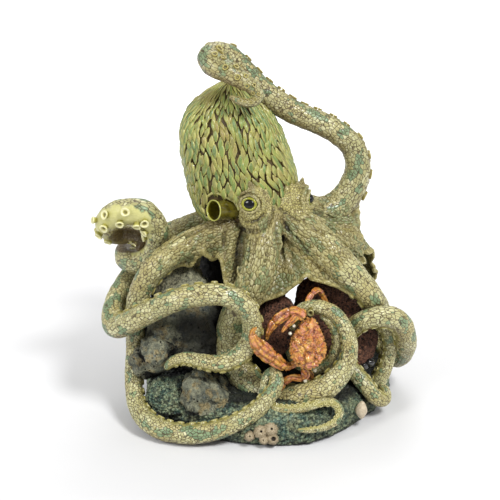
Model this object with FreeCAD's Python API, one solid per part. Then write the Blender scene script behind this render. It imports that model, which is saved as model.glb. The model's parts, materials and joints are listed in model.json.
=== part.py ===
import FreeCAD, Part
import math, os, random
from FreeCAD import Vector as V

# Octopus figurine: studio ceramic, all sizes in millimetres.
# +Z up, the front looks along -Y, the origin is on the flat underside.

# ---------------------------------------------------------------- driving sizes
BASE_HEIGHT = 40.0          # ground plate, rim to top
BASE_FLOOR = 7.0            # floor slab of the hollow ground plate
BASE_WALL = 9.0
VENT_R = 6.0                # firing vent in the floor slab
VENT_POS = (30.0, 48.0)
MANTLE_WALL = 6.0
MANTLE_DEPTH = 0.94         # front-to-back size over side-to-side size
MANTLE_RINGS = [            # z, x, y, radius
    (198.0, -8.5, 8.0, 47.0), (206.0, -10.5, 9.0, 51.0), (220.0, -12.5, 10.0, 54.3),
    (234.0, -13.8, 11.0, 55.8), (246.0, -16.4, 11.0, 56.0), (259.0, -20.0, 11.0, 54.8),
    (271.0, -23.4, 11.0, 53.4), (284.0, -26.0, 11.0, 51.4), (295.0, -27.8, 11.0, 48.2),
    (307.0, -28.8, 11.0, 42.5), (317.5, -28.6, 11.0, 34.5), (326.0, -28.2, 11.0, 26.0),
    (333.0, -27.8, 11.0, 17.5), (337.5, -27.6, 11.0, 10.0), (339.5, -27.5, 11.0, 4.5)]
HEAD_BLOBS = [              # centre, half sizes
    ((21.0, -7.0, 203.0), (38.0, 33.0, 29.0)),
    ((-1.0, -35.0, 221.0), (17.5, 17.0, 26.0)),
    ((38.5, -17.0, 219.0), (19.5, 18.0, 19.5))]
EYE_R = 7.6                 # glass eyes, 15 mm
EYE_LEFT = (-6.6, -48.6, 229.6)
EYE_RIGHT = (51.0, -22.5, 225.5)
GAZE_LEFT = (-0.22, -0.93, 0.28)
GAZE_RIGHT = (0.93, -0.33, 0.10)
RIM_R = 7.4                 # lid ring round each eye
RIM_T = 1.5
SIPHON_MOUTH = (-43.4, -48.5, 222.6)
SIPHON_AXIS = (-0.745, -0.640, 0.19)   # out of the mouth
SIPHON_LEN = 36.0
SIPHON_R = 11.0
SIPHON_ROOT_R = 8.6
SIPHON_WALL = 1.6
HORNS = [
    ((-4.0, -42.0, 240.1), (-0.25, -0.14, 0.96), 14.3, 5.2),
    ((-0.4, -42.0, 240.1), (-0.3, -0.26, 0.92), 11.6, 3.6),
    ((2.1, -40.0, 239.4), (0.55, 0.0, 0.84), 6.4, 2.6),
    ((46.4, -16.0, 238.5), (0.16, -0.1, 0.98), 9.6, 4.2),
    ((51.0, -19.0, 234.1), (0.74, -0.22, 0.64), 4.6, 2.6),
    ((41.7, -18.0, 239.7), (0.07, -0.37, 0.93), 5.4, 2.6),
    ((36.0, -20.0, 238.8), (0.08, -0.41, 0.91), 4.9, 2.4),
    ((30.4, -22.0, 236.8), (-0.13, -0.42, 0.9), 4.8, 2.4),
    ((56.3, -22.0, 217.2), (0.83, 0.48, 0.29), 8.3, 3.2),
    ((49.9, -30.0, 211.9), (0.29, -0.37, -0.88), 5.4, 4.2)]
WEB_T = 3.6                 # thickness of the sheets of skin
SUCKER_PITCH = 1.75         # spacing along the arm over the sucker radius
ARM_STEP = 6.5              # distance between arm sections
CAM_TILT = 22.0             # the rocks' outlines are given in a plane tilted back by this angle

# ---------------------------------------------------------------- shape tables
# arms: centre line and radius (x, y, z, r)
ARMS = {
    "ring": [(12, -30, 210.8, 15.4), (8.7, -50, 196.6, 16.2), (5.6, -64, 179.3, 16.7), (-2.5, -72, 156.4, 16.2), (-14.7, -70, 130, 15.8), (-25.1, -62, 100.3, 15.5), (-27.4, -60, 74, 15.6), (-16.9, -68, 51.2, 15.7), (3.9, -84, 36.2, 15.6), (28.5, -97, 32.7, 14.7), (50.7, -104, 41.1, 14.1), (68.9, -105, 50.3, 12.8), (84, -102, 64.2, 11), (93.5, -97, 80.4, 8.7), (94.4, -93, 97, 7.9), (89.1, -89, 112.5, 7.6), (79.5, -84, 124.1, 7.3), (66.5, -80, 129.5, 7.1), (52.5, -76, 127.6, 6.9), (41.6, -70, 117.6, 6.6), (34.9, -62, 99.1, 6.2), (34.2, -58, 74.1, 6.1), (43.7, -62, 57.5, 5.9), (58.1, -70, 52.8, 5.5), (72, -79, 63.8, 5.5), (80, -85, 79.5, 5.4), (82.6, -86, 95.9, 5.3), (79.4, -85, 107.8, 4.8), (73.6, -84, 115.9, 3.8), (66.1, -81, 119.6, 2.3)],
    "front_left": [(-10.6, -22, 203.4, 13.4), (-31.2, -30, 195.4, 14.4), (-56.8, -38, 187.5, 13.6), (-83, -50, 178.6, 12.9), (-104, -56, 161.7, 12.5), (-118.7, -54, 137.4, 11.6), (-124.9, -52, 111.6, 10.9), (-125.6, -52, 88.6, 10.7), (-126, -56, 67.3, 10.5), (-128.1, -64, 48, 9.6), (-126.9, -78, 33, 9.4), (-122.3, -94, 22.9, 9.9), (-112, -110, 16.6, 10.6), (-95, -122, 12.1, 10.8), (-69.2, -130, 11.9, 10.6), (-43.8, -132, 16.3, 10), (-19.6, -130, 25.6, 9.1), (0.6, -125, 37.1, 8.7), (13.7, -119, 50.4, 8.1), (20.8, -111, 62, 6.9), (17.4, -102, 67.6, 5.7), (11.8, -101, 63.6, 5.1), (8.2, -106, 53.7, 4.9), (8.7, -112, 43.7, 4.7), (16.7, -121, 38.3, 4.6), (29.8, -126, 38.2, 4.6), (47.9, -126, 39.9, 4.6), (66.1, -122, 43.4, 4.5), (78.4, -119, 41.2, 4.3), (84.2, -120, 32.6, 4.2), (80.4, -126, 24.4, 3.8), (68, -133, 20.9, 3.4), (53.8, -137, 20.4, 2.9), (42.7, -138, 20.9, 1.8)],
    "arc": [(-17, 0, 203, 12.6), (-43.7, 14, 192.1, 12.7), (-72.9, 20, 176.2, 12.3), (-100.4, 24, 156.1, 12.1), (-121.5, 24, 136.3, 11.7), (-136.3, 8, 124.2, 11.4), (-146.1, -18, 114.6, 11.5), (-149.5, -46, 106.5, 11.8), (-144.5, -68, 102.5, 11.9), (-127.2, -84, 115.7, 11.7), (-105.8, -94, 132, 11.5), (-80, -101, 147.2, 11.4), (-53.9, -106, 155.4, 11.3), (-31.1, -109, 156.2, 11.1), (-13.4, -108, 146, 10.9), (-5, -103, 126.2, 10.3), (-5.5, -101, 105.4, 10.1), (-15.6, -104, 88.9, 9.7), (-34.7, -108, 80.3, 9), (-55, -105, 81, 7.7), (-71.2, -103, 83.4, 6.5), (-83.5, -101, 79, 5.6), (-90.4, -99, 72.3, 4.1)],
    "coil": [(-6.5, 16, 197.1, 12.7), (-36.6, 32, 186.5, 12.9), (-65.3, 44, 171.6, 13.1), (-94.1, 48, 159.5, 13.1), (-115.9, 44, 151.7, 13.1), (-131.4, 32, 150.6, 13), (-138.5, 14, 150.9, 12.9), (-133.8, -4, 150.2, 13.3), (-120.1, -16, 152.9, 13.1), (-106.6, -24, 166.3, 12.8), (-101.9, -32, 186.3, 12.4), (-104.4, -40, 205.9, 12.5), (-113.9, -45, 218.6, 13.2), (-128, -45, 220.2, 13.7), (-142.8, -40, 215.1, 13.5), (-153.7, -28, 201.3, 12.9), (-152.1, -14, 187.6, 12.5), (-144.2, -6, 180.6, 12), (-133.1, -6, 181.1, 10.7), (-123.4, -10, 179.9, 8.6), (-119.6, -14, 174.7, 5.9), (-122.6, -18, 169.5, 3.3)],
    "top": [(45.8, -2, 208.2, 15.7), (69.5, 8, 200, 15.8), (89.9, 16, 207.2, 15.9), (103.3, 20, 227.1, 14.8), (107, 21, 247.9, 13.5), (101.2, 21, 267.6, 12.9), (88.2, 20, 281, 12.5), (72.3, 19, 291.6, 12.4), (54.5, 18, 299.4, 12.4), (36.8, 17, 307.7, 12.6), (19.2, 16, 319.7, 12.8), (1.7, 16, 333.4, 12.9), (-13.6, 16, 350.1, 12.8), (-27.8, 14, 364.1, 13), (-39.7, 6, 369.6, 13.1), (-45.9, -8, 368.5, 13), (-40.1, -20, 364.3, 12.1), (-27.2, -26, 359.3, 10.8), (-14.4, -29, 352.5, 9.1), (-3.5, -31, 344.9, 7.1), (1.9, -32, 337.1, 5.5), (-3, -34, 331.5, 4.8), (-11.9, -35, 331.3, 4.4), (-19.8, -35, 334.3, 3.7), (-24.7, -35, 336.4, 2.2)],
    "front_right": [(34.9, -20, 206, 15.5), (51, -34, 195.9, 16.9), (68.3, -44, 181.1, 17.4), (85.6, -51, 165.1, 16.4), (102.3, -54, 148.6, 14.8), (117.3, -54, 130.6, 13.2), (129.3, -44, 107.9, 11.7), (137.3, -40, 87.5, 9.5), (141.6, -37, 66.2, 8.5), (138.8, -40, 48.7, 8.5), (133.1, -44, 34.1, 8.7), (124.5, -50, 21.7, 8.1), (109.8, -62, 20.9, 7.6), (94.2, -72, 25.7, 6.9), (81.1, -80, 24.7, 5.2), (72.5, -86, 23.2, 3.1)],
    "loop_right": [(44.4, 14, 193.3, 14.9), (71.4, 34, 169.6, 15.2), (93.5, 46, 141.4, 15.4), (107.8, 50, 111.1, 15), (122.8, 44, 79.7, 14.5), (134.8, 30, 51.9, 14), (145.1, 14, 35, 13.3), (153.9, -6, 38.2, 12.7), (158.5, -27, 57.7, 12.1), (156.5, -46, 79.9, 11.8), (150.7, -58, 99.5, 11.6), (138.1, -69, 113.2, 11.3), (122.3, -73, 115.6, 10.6), (108.4, -70, 109.1, 10.1), (97, -63, 95, 9.5), (91, -60, 77.4, 9.2), (93.9, -62, 61, 9), (103.1, -69, 50, 8.8), (114.3, -77, 38.9, 8.5), (125.1, -78, 25.4, 8.1), (134.4, -70, 19.3, 7.2), (135.5, -67, 26.5, 5.9), (131.5, -63, 30.9, 3.6)],
    "rear": [(14, 34, 196, 14), (14, 64, 190, 14), (10, 90, 168, 13.5), (2.1, 104, 138, 13), (-8, 112, 106, 12.2), (-22, 118, 78, 11.2), (-44, 118, 58.1, 10), (-66, 106, 48.1, 8.8), (-78, 86, 46, 7.4), (-74, 68, 50, 6), (-62, 62, 56.1, 4.4)],
}
SUCKER_SIDE = {
    "ring": [(0, 0, 0.93, -0.37), (4, 0.49, 0.81, -0.33), (6, 0.96, 0.25, 0.11), (8, 0.6, 0.75, 0.27), (9, 0.36, 0.82, 0.44), (10, 0.09, 0.85, 0.51), (11, -0.21, 0.85, 0.49), (12, -0.54, 0.78, 0.33), (13, -0.75, 0.66, 0.03), (14, -0.8, 0.53, -0.28), (15, -0.7, 0.41, -0.59), (16, -0.48, 0.32, -0.82), (17, -0.21, 0.27, -0.94), (18, 0.08, 0.26, -0.96), (19, 0.35, 0.29, -0.89), (20, 0.62, 0.37, -0.69), (21, 0.92, 0.36, 0.13), (23, 0.06, 0.62, 0.78), (25, -0.79, 0.47, 0.39), (27, -0.84, 0.1, -0.53), (29, -0.29, -0.07, -0.95)],
    "front_left": [(0, 0, 0.78, -0.63), (3, 0.37, 0.48, -0.79), (5, 0.85, 0.44, -0.27), (9, 0.89, 0.41, -0.17), (12, 0.6, 0.71, 0.37), (14, 0, 0.72, 0.69), (17, -0.35, 0.62, 0.7), (19, -0.84, 0.54, 0.08), (21, 0, 0.45, -0.89), (23, 0.81, 0.47, 0.35), (24, 0.1, 0.18, 0.98), (26, -0.09, -0.08, 0.99), (27, -0.72, -0.69, -0.11), (29, -0.41, -0.07, 0.91), (32, -0.18, 0, 0.98)],
    "arc": [(0, 0, 0.78, -0.63), (3, 0.5, 0.46, -0.73), (6, 0.83, 0.48, -0.29), (8, 0.16, 0.91, 0.39), (10, -0.25, 0.77, 0.58), (13, 0.17, 0.79, 0.59), (15, 0.77, 0.63, -0.09), (17, 0.63, -0.02, -0.77), (19, 0.1, -0.37, -0.92), (22, 0.2, -0.46, -0.87)],
    "coil": [(0, 0, 0.72, -0.69), (4, 0.19, -0.54, -0.82), (7, 0.69, 0.05, 0.72), (8, -0.36, 0.58, 0.73), (9, -0.83, 0.47, 0.31), (10, -0.96, 0.27, -0.11), (11, -0.8, -0.18, -0.57), (12, -0.19, -0.83, -0.53), (13, 0, -0.99, -0.16), (14, -0.1, -0.99, 0.14), (15, -0.6, -0.74, 0.3), (16, -0.68, -0.52, -0.52), (17, -0.22, -0.37, -0.91), (21, -0.74, 0, -0.67)],
    "top": [(0, 0, 0.66, -0.75), (3, 0.94, 0.19, -0.28), (5, 0.93, 0.37, 0.05), (7, 0.58, 0.6, 0.56), (10, 0.42, 0.63, 0.65), (12, 0.62, 0.59, 0.52), (14, 0.28, 0.96, -0.09), (15, 0.8, -0.4, 0.45), (17, 0.3, -0.63, 0.72), (19, 0, -0.98, 0.19), (21, -0.86, -0.48, 0.19), (24, 0, -0.16, 0.99)],
    "front_right": [(0, -0.26, 0.64, -0.72), (3, -0.72, 0.21, -0.67), (6, -0.98, 0.02, -0.22), (8, -1, -0.09, 0.04), (10, -0.98, 0.08, 0.2), (12, -0.28, 0.18, 0.94), (15, 0, 0.19, 0.98)],
    "loop_right": [(0, 0, 0.72, -0.69), (4, -0.55, 0.77, -0.31), (7, -0.42, 0.61, 0.67), (9, -0.95, 0.3, -0.02), (11, -0.49, 0.07, -0.87), (13, 0.18, 0, -0.98), (15, 0.92, 0.31, -0.22), (17, 0.77, 0.48, 0.43), (20, 0.21, 0.55, 0.81), (22, -0.98, -0.07, 0.16)],
    "rear": [(0, 0, -1, -0.08), (5, 0, -0.93, 0.37), (8, 0, -0.78, 0.63), (10, 0, -0.66, 0.75)],
}
ROCKS = {
    "grey_rock_tall": ((-75.1, -36, 110), 34, 40, [(-36.6, 9.6), (-27.2, 27.6), (-18.6, 38.6), (-8, 44.8), (5.4, 44.3), (14.6, 38), (20.8, 31.8), (24.8, 22.3), (29.9, 7.5), (35.8, -24.8), (36.6, -53.2), (15.2, -64.2), (-16.9, -62), (-35.7, -48.8), (-40.1, -18.3)]),
    "grey_rock_pitted": ((-91.5, -66, 92.5), 17, 26, [(-17.2, 4.7), (-12.8, 14.2), (-3.4, 17.4), (8.8, 15.3), (16.9, 4.7), (19.7, -8), (12.2, -19.8), (-6.5, -18.7), (-17.7, -10.2)]),
    "grey_rock_mid": ((-101.7, -80, 83.1), 15, 22, [(-18.8, -0.4), (-15.5, 8.1), (-8.1, 13.8), (1.1, 13.8), (10.2, 11.2), (16.8, 6), (18.1, -1.4), (13.8, -9.9), (4.4, -15.3), (-7, -15.8), (-15, -10.5)]),
    "grey_rock_ledge": ((-113.7, -70, 61.9), 17, 26, [(-16.7, 9.3), (-12.8, 15.8), (-4.6, 14.7), (6.7, 9.3), (16.9, 2.9), (21.8, -5.7), (13.3, -13.3), (0.7, -15.5), (-9.7, -13.3), (-15.6, -4.6)]),
    "green_rock_left": ((-89, -84, 28.1), 20, 44, [(-25, 2.1), (-23.6, 12.9), (-19.7, 23.2), (-13.4, 24.8), (-6.3, 21), (6.1, 22.6), (20.5, 21.6), (32.7, 6.4), (34.5, -17.6), (23.7, -33.1), (4.8, -35.3), (-11.9, -33.1), (-22, -17.6)]),
    "grey_boulder_front": ((-54.2, -98, 37.6), 20, 26, [(-23, 8.9), (-21.3, 17.4), (-15.6, 24.3), (-5.8, 28), (3.8, 25.4), (9.9, 19), (16.9, 9.4), (24.1, 2.5), (27.6, -7.2), (26, -15.9), (17.7, -22.4), (4.2, -27.3), (-7.7, -26.8), (-14.9, -22.4), (-19.9, -12.6), (-21.7, -1.8)]),
    "grey_rock_small": ((-36.3, -76, 37.8), 14, 24, [(-10.7, 6.5), (-7.6, 11.9), (-1.3, 14.1), (5.9, 8.7), (10, 0), (10, -10.9), (2.6, -17.5), (-8.9, -13.1)]),
    "red_rock_left": ((20.5, -50, 105.5), 20, 34, [(-19.2, 12.2), (-17.1, 16.4), (-12, 19.6), (-2.2, 21.2), (7.2, 21.7), (13.9, 17.5), (19.7, 11.2), (23.1, -3.7), (18.1, -27.3), (3.6, -42.5), (-13.3, -35.9), (-21.8, -12.2)]),
    "red_rock_right": ((80, -28, 89.8), 30, 44, [(-37.5, 27.1), (-36.1, 38.8), (-30.9, 45.2), (-19.5, 48.3), (-2.7, 47.3), (14.2, 39.9), (29.4, 25), (40.6, 7.8), (49, -18.3), (46.9, -32.6), (38.3, -47.1), (21.7, -67.3), (-8.5, -69.5), (-29.4, -47.1), (-35.3, -15.1), (-38.3, 9.9)]),
    "core_rock": ((-13.7, 20, 93.5), 34, 42, [(-47, 34.7), (-43.5, 52), (-33.6, 69.2), (-14.2, 76.6), (15.7, 76.6), (35.1, 64.9), (42.9, 41.2), (45.3, 18.2), (43.3, -6.1), (49.1, -34.2), (54.2, -82.4), (41, -105.8), (-35.6, -105.8), (-53.3, -82.4), (-51.4, -34.2), (-47.5, -0.6)]),
    "red_rock_rear": ((76.6, 70, 47.4), 24, 26, [(-28.3, -1.8), (-26.3, 15.6), (-12.8, 24.9), (5.4, 23.7), (21.5, 14.5), (31.1, -1.8), (27.2, -21.8), (3.3, -31.2), (-21.1, -23)]),
    "grey_rock_rear": ((-22.4, 88, 51.3), 26, 24, [(-44.2, -6.1), (-37, 12.6), (-18.5, 25.4), (4.5, 30.1), (25.1, 23.1), (38.9, 9.1), (41.4, -9.7), (27.5, -26.3), (-2.7, -33.4), (-35.2, -26.3)]),
}
CARAPACE = ((52, -103, 99.5), 12, 11, [(-3.6, 26.9), (4.3, 27.9), (10.4, 21.8), (15.2, 11.5), (17.9, -0.9), (17.2, -11.3), (12.3, -19.6), (4.3, -25.4), (-4.8, -25.9), (-12, -21.2), (-17.1, -13.4), (-18.3, -1.9), (-15.4, 10.5), (-10.5, 19.7)])
BASE_PLAN = [(-116, -30), (-107, -70), (-92, -97), (-70, -114), (-44, -125), (-16, -133), (10, -137), (36, -137), (64, -127), (90, -108), (114, -80), (133, -52), (142, -28), (145, 2), (140, 34), (126, 65), (101, 93), (68, 113), (28, 122), (-18, 122), (-60, 110), (-92, 86), (-111, 50), (-119, 10)]
CRAB_TUBES = {
    "crab_claw_upper": [[(47.5, -101, 127.5, 4.2), (41.4, -100, 133.1, 4.6), (33.5, -99, 133.2, 4.6), (25.5, -99, 128.2, 5), (18.6, -99, 122.2, 4.6), (13.1, -99, 114.4, 3.6), (10.6, -98, 106.1, 2.4), (10.1, -98, 100.6, 1)],
        [(40.3, -103, 131.7, 3.2), (34.9, -104, 125.6, 2.9), (29.9, -105, 120.6, 2.2), (25, -106, 113.9, 0.9)]],
    "crab_claw_lower": [[(41.2, -98, 76.9, 3.3), (35.1, -101, 74.4, 3.4), (28.9, -104, 75.4, 4.3), (22.7, -107, 80.3, 5.6), (15.6, -109, 87, 6.6), (8.5, -112, 94.6, 6.6), (2, -115, 103.3, 5.8), (-2.7, -117, 111.5, 4.2), (-4.5, -117, 117.5, 2.9), (-3, -117, 121.9, 1.9), (0.9, -117, 124.6, 0.8)],
        [(14.5, -112, 96.3, 3.4), (10.5, -114, 102.3, 2.8), (6.9, -115, 107.7, 1.8), (4.8, -115, 110.7, 0.8)]],
    "crab_legs": [[(48.4, -99, 70.6, 3.7), (51, -100, 64.3, 4), (46.5, -101, 60.2, 3.5), (35.2, -101, 60.8, 3.2), (27.7, -101, 54.5, 3.4), (21.6, -104, 45.7, 2.7), (16.9, -111, 39.2, 2), (14.3, -120, 32.6, 0.8)],
        [(53.9, -92, 63.6, 2.7), (56.1, -92, 54.4, 3.1), (52, -95, 47.9, 2.7), (45.7, -99, 46.5, 1.6), (40.5, -101, 48.7, 0.8)],
        [(45.8, -94, 122, 2.2), (51.2, -70, 130, 2.4), (57.5, -62, 137, 2.6), (63.8, -58, 139.2, 2.6), (68.1, -56, 132.7, 2.4), (73, -56, 121.4, 1.8), (76.2, -58, 112.1, 0.8)]],
}
CRAB_EYES = [(37.5, -104, 120.1, 1.8), (33.8, -105, 112.3, 1.9)]
CRAB_BEADS = [(59.7, -98, 67.2, 2), (49.9, -104, 58.4, 2)]
BARNACLES = [(-6.8, -137, 13.1, 4.4), (4.4, -137, 18.6, 4.7), (14.9, -137, 21.6, 4.7), (7.5, -138.5, 10.1, 4.3), (16.5, -138.5, 11.3, 4.6)]
WEBS = {
    "web_left": [[(-100.7, -50, 166.9), (-99.3, -50, 163.1), (-97.8, -50, 159.2), (-96.4, -50, 155.3), (-94.9, -50, 151.4)],
        [(-86.2, -50, 175.8), (-84.7, -50, 172.8), (-83.2, -50, 169.7), (-81.8, -50, 166.7), (-80.3, -50, 163.6)],
        [(-73, -46, 180.8), (-71.8, -46.5, 176), (-70.6, -47, 171.3), (-69.3, -47.5, 166.5), (-68.1, -48, 161.7)],
        [(-63.9, -42, 183.6), (-63.1, -44, 180.5), (-62.3, -46, 177.5), (-61.5, -48, 174.4), (-60.7, -50, 171.4)],
        [(-57.8, -40, 186.1), (-56.9, -43.5, 184.8), (-56, -47, 183.4), (-55.2, -50.5, 182.1), (-54.3, -54, 180.7)],
        [(-51.7, -38, 188.6), (-51.6, -41.5, 185.1), (-51.5, -45, 181.5), (-51.5, -48.5, 177.9), (-51.4, -52, 174.4)],
        [(-45.5, -36, 190.1), (-45.5, -38.5, 184.6), (-45.5, -41, 179.1), (-45.5, -43.5, 173.6), (-45.5, -46, 168.1)],
        [(-39.3, -36, 193.4), (-39.1, -39.5, 188.3), (-38.8, -43, 183.2), (-38.5, -46.5, 178.1), (-38.2, -50, 173)],
        [(-31.1, -38, 197.4), (-31.8, -42.5, 188.8), (-32.6, -47, 180.1), (-33.3, -51.5, 171.4), (-34.1, -56, 162.8)],
        [(-22.8, -40, 200.4), (-24.6, -45.5, 186.6), (-26.4, -51, 172.9), (-28.2, -56.5, 159.1), (-30, -62, 145.4)],
        [(-13.7, -36, 194.5), (-15.5, -43, 178.5), (-17.3, -50, 162.5), (-19.1, -57, 146.6), (-20.8, -64, 130.6)],
        [(-4.5, -46, 194), (-6.5, -51.5, 175.3), (-8.5, -57, 156.6), (-10.6, -62.5, 137.8), (-12.6, -68, 118.9)]],
    "web_left_rear": [[(-18.9, -20, 199.4), (-19, -8, 198.2), (-19.1, 4, 195.9), (-17.1, 14, 194.4)],
        [(-35.4, -28, 193.6), (-36.7, -14, 193.7), (-39.1, 0, 192.9), (-41.5, 14, 191)],
        [(-56.8, -38, 186.4), (-58.5, -20, 183.8), (-63.5, 0, 180.5), (-68.6, 20, 177.3)],
        [(-78.2, -46, 177.5), (-81.3, -26, 173.9), (-86.8, -2, 168.8), (-92.6, 22, 162.7)],
        [(-92.5, -50, 166.9), (-96.9, -30, 163.2), (-102.7, -6, 157.9), (-110, 20, 150.8)],
        [(-104, -52, 154.4), (-108.4, -34, 151.3), (-114.3, -12, 146.6), (-124.1, 16, 136.1)]],
    "web_centre": [[(5.7, -48, 201.3), (2.7, -54, 182.4), (-0.4, -60, 163.4), (-3.4, -66, 144.3), (-6.5, -72, 125.3)],
        [(13.9, -44, 197.6), (11.1, -51.2, 180.7), (8.3, -58.5, 163.9), (5.5, -65.8, 147), (2.7, -73, 130.2)],
        [(21.2, -36, 194.5), (18.6, -44.8, 179.3), (16, -53.5, 164.3), (13.4, -62.2, 149.2), (10.8, -71, 134.3)],
        [(26.4, -34, 191.5), (25.1, -42.2, 177.6), (23.7, -50.5, 163.8), (22.4, -58.8, 150.1), (21.1, -67, 136.4)],
        [(31.4, -40, 191.6), (30.9, -45.8, 178.3), (30.3, -51.5, 165.1), (29.8, -57.2, 151.8), (29.3, -63, 138.6)],
        [(36.5, -42, 190.2), (36.2, -47, 178.7), (35.9, -52, 167.2), (35.7, -57, 155.7), (35.4, -62, 144.3)],
        [(42.7, -42, 185.8), (42.6, -47, 176.8), (42.6, -52, 167.8), (42.5, -57, 158.8), (42.5, -62, 149.8)],
        [(49.8, -44, 182.2), (50.1, -48.8, 175.8), (50.4, -53.5, 169.5), (50.7, -58.2, 163.2), (51, -63, 156.9)],
        [(55.9, -46, 180.8), (56.6, -49.5, 173.5), (57.4, -53, 166.3), (58.1, -56.5, 159), (58.9, -60, 151.7)],
        [(65.1, -48, 176.1), (67.1, -51, 168.9), (69.2, -54, 161.7), (71.2, -57, 154.5), (73.3, -60, 147.3)],
        [(76.4, -50, 166.9), (79, -52.5, 160.8), (81.6, -55, 154.6), (84.1, -57.5, 148.4), (86.7, -60, 142.3)],
        [(87.8, -52, 156.7), (90.4, -54, 150.6), (93, -56, 144.4), (95.6, -58, 138.3), (98.2, -60, 132.2)]],
    "web_right": [[(60.5, -4, 202.2), (60.1, -12, 201.9), (58.7, -20, 200.5), (58.4, -28, 198), (59.1, -36, 195.6)],
        [(75.6, 4, 199.3), (75.1, -6, 197.4), (73.5, -18, 194.2), (73, -28, 190.2), (73.5, -40, 185)],
        [(88.6, 10, 199.3), (89.1, 0, 195.1), (88.5, -12, 189.6), (87.8, -26, 182.8), (88.9, -44, 173.3)],
        [(99.4, 14, 202.3), (101, 4, 194.8), (102.5, -8, 185.8), (102.7, -24, 174.2), (103.5, -46, 160.8)],
        [(108.1, 17, 203.5), (107.9, 10, 191.4), (109.4, -2, 180.1), (110.9, -14, 169), (108.8, -32, 158.4)]],
    "web_rear_right": [[(78.2, 12, 198.5), (78.8, 20, 191), (79.5, 28, 181.1), (82.4, 36, 168.8)],
        [(92.2, 16, 197.1), (94.2, 24, 185), (96.3, 34, 169.6), (99.6, 44, 152.8)],
        [(102, 18, 194), (107.2, 24, 178.1), (111.6, 32, 161.1), (112.3, 46, 136.7)],
        [(107.6, 14, 175.1), (114.8, 18, 162), (120.5, 28, 144), (120.7, 46, 115.2)],
        [(113.1, 8, 156.8), (125.5, 14, 153.2), (128.1, 20, 139.1), (127.7, 36, 111)]],
    "web_rear_left": [[(-17.2, 20, 193.3), (-13, 36, 187.3), (-4.3, 48, 182.9), (6.7, 58, 176.8)],
        [(-36.6, 30, 182.7), (-30.5, 48, 171.2), (-17.6, 64, 160.4), (0.2, 76, 151)],
        [(-56.4, 38, 172.7), (-48.4, 58, 153.2), (-31.2, 78, 133.3), (-4.2, 94, 117.1)],
        [(-76.2, 42, 164.2), (-68.9, 66, 133.3), (-47.5, 90, 106.4), (-4.2, 102, 94)],
        [(-94, 44, 154), (-85, 68, 118), (-59.3, 94, 87.4), (-6.5, 106, 72.1)]],
    "web_rear": [[(15.4, 54, 178.3), (30.5, 46, 181.3), (45.1, 32, 186.5), (57.6, 22, 188)],
        [(18, 74, 151.8), (37.7, 62, 158.8), (59, 46, 165), (78.1, 36, 166.5)],
        [(20.8, 92, 120.4), (45.2, 78, 130.9), (71, 58, 139), (97, 48, 138.2)],
        [(18.8, 100, 97.3), (50.4, 88, 109.7), (83.2, 68, 118), (104.6, 54, 119)]],
}
BEIGE_PEBBLE = ((109.0, -92.0, 18.3), (5.2, 5.0, 9.5))
DARK_PEBBLES = [((113.3, -58.0, 51.9), (5.0, 4.5, 4.6)), ((119.5, -56.0, 55.0), (5.2, 4.5, 4.8))]

# ---------------------------------------------------------------- helpers
def unit(v):
    v = V(*v) if not isinstance(v, FreeCAD.Vector) else V(v)
    v.normalize()
    return v


def centre_line(table, step):
    """Centripetal Catmull-Rom curve through the table, resampled evenly: [(point, r)]."""
    P = [list(map(float, p)) for p in table]
    first = [2 * a - b for a, b in zip(P[0], P[1])]
    last = [2 * a - b for a, b in zip(P[-1], P[-2])]
    P = [first] + P + [last]
    dense = []
    for i in range(1, len(P) - 2):
        p0, p1, p2, p3 = P[i - 1], P[i], P[i + 1], P[i + 2]
        d = [max(math.dist(a[:3], b[:3]), 1e-6) ** 0.5 for a, b in ((p0, p1), (p1, p2), (p2, p3))]
        t0, t1 = 0.0, d[0]
        t2 = t1 + d[1]
        t3 = t2 + d[2]
        n = 12
        for k in range(n):
            t = t1 + (t2 - t1) * k / n
            def mix(a, b, ta, tb):
                return [((tb - t) * x + (t - ta) * y) / (tb - ta) for x, y in zip(a, b)]
            a1, a2, a3 = mix(p0, p1, t0, t1), mix(p1, p2, t1, t2), mix(p2, p3, t2, t3)
            b1, b2 = mix(a1, a2, t0, t2), mix(a2, a3, t1, t3)
            dense.append((mix(b1, b2, t1, t2), i - 1 + k / n))
    dense.append((P[-2], len(P) - 3.0))
    s = [0.0]
    for a, b in zip(dense, dense[1:]):
        s.append(s[-1] + math.dist(a[0][:3], b[0][:3]))
    n = max(4, int(round(s[-1] / step)))
    out, j = [], 0
    for k in range(n + 1):
        t = s[-1] * k / n
        while j < len(s) - 2 and s[j + 1] < t:
            j += 1
        w = (t - s[j]) / max(s[j + 1] - s[j], 1e-9)
        a, b = dense[j], dense[j + 1]
        q = [x + (y - x) * w for x, y in zip(a[0], b[0])]
        out.append((V(*q[:3]), q[3], a[1] + (b[1] - a[1]) * w, t))
    return out


def frames(line):
    """Unit tangents and parallel-transported side vectors along a centre line."""
    T = []
    for i in range(len(line)):
        a, b = line[max(0, i - 1)][0], line[min(len(line) - 1, i + 1)][0]
        T.append(unit(b - a))
    n = T[0].cross(V(0, 0, 1))
    if n.Length < 0.1:
        n = T[0].cross(V(1, 0, 0))
    n.normalize()
    N = [n]
    for i in range(1, len(line)):
        n = N[-1] - T[i] * N[-1].dot(T[i])
        n.normalize()
        N.append(n)
    return T, N


def ring(c, t, n, r):
    b = t.cross(n)
    m = FreeCAD.Matrix(n.x, b.x, t.x, c.x, n.y, b.y, t.y, c.y, n.z, b.z, t.z, c.z, 0, 0, 0, 1)
    w = Part.Wire(Part.makeCircle(r))
    w.Placement = FreeCAD.Placement(m)
    return w


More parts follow.
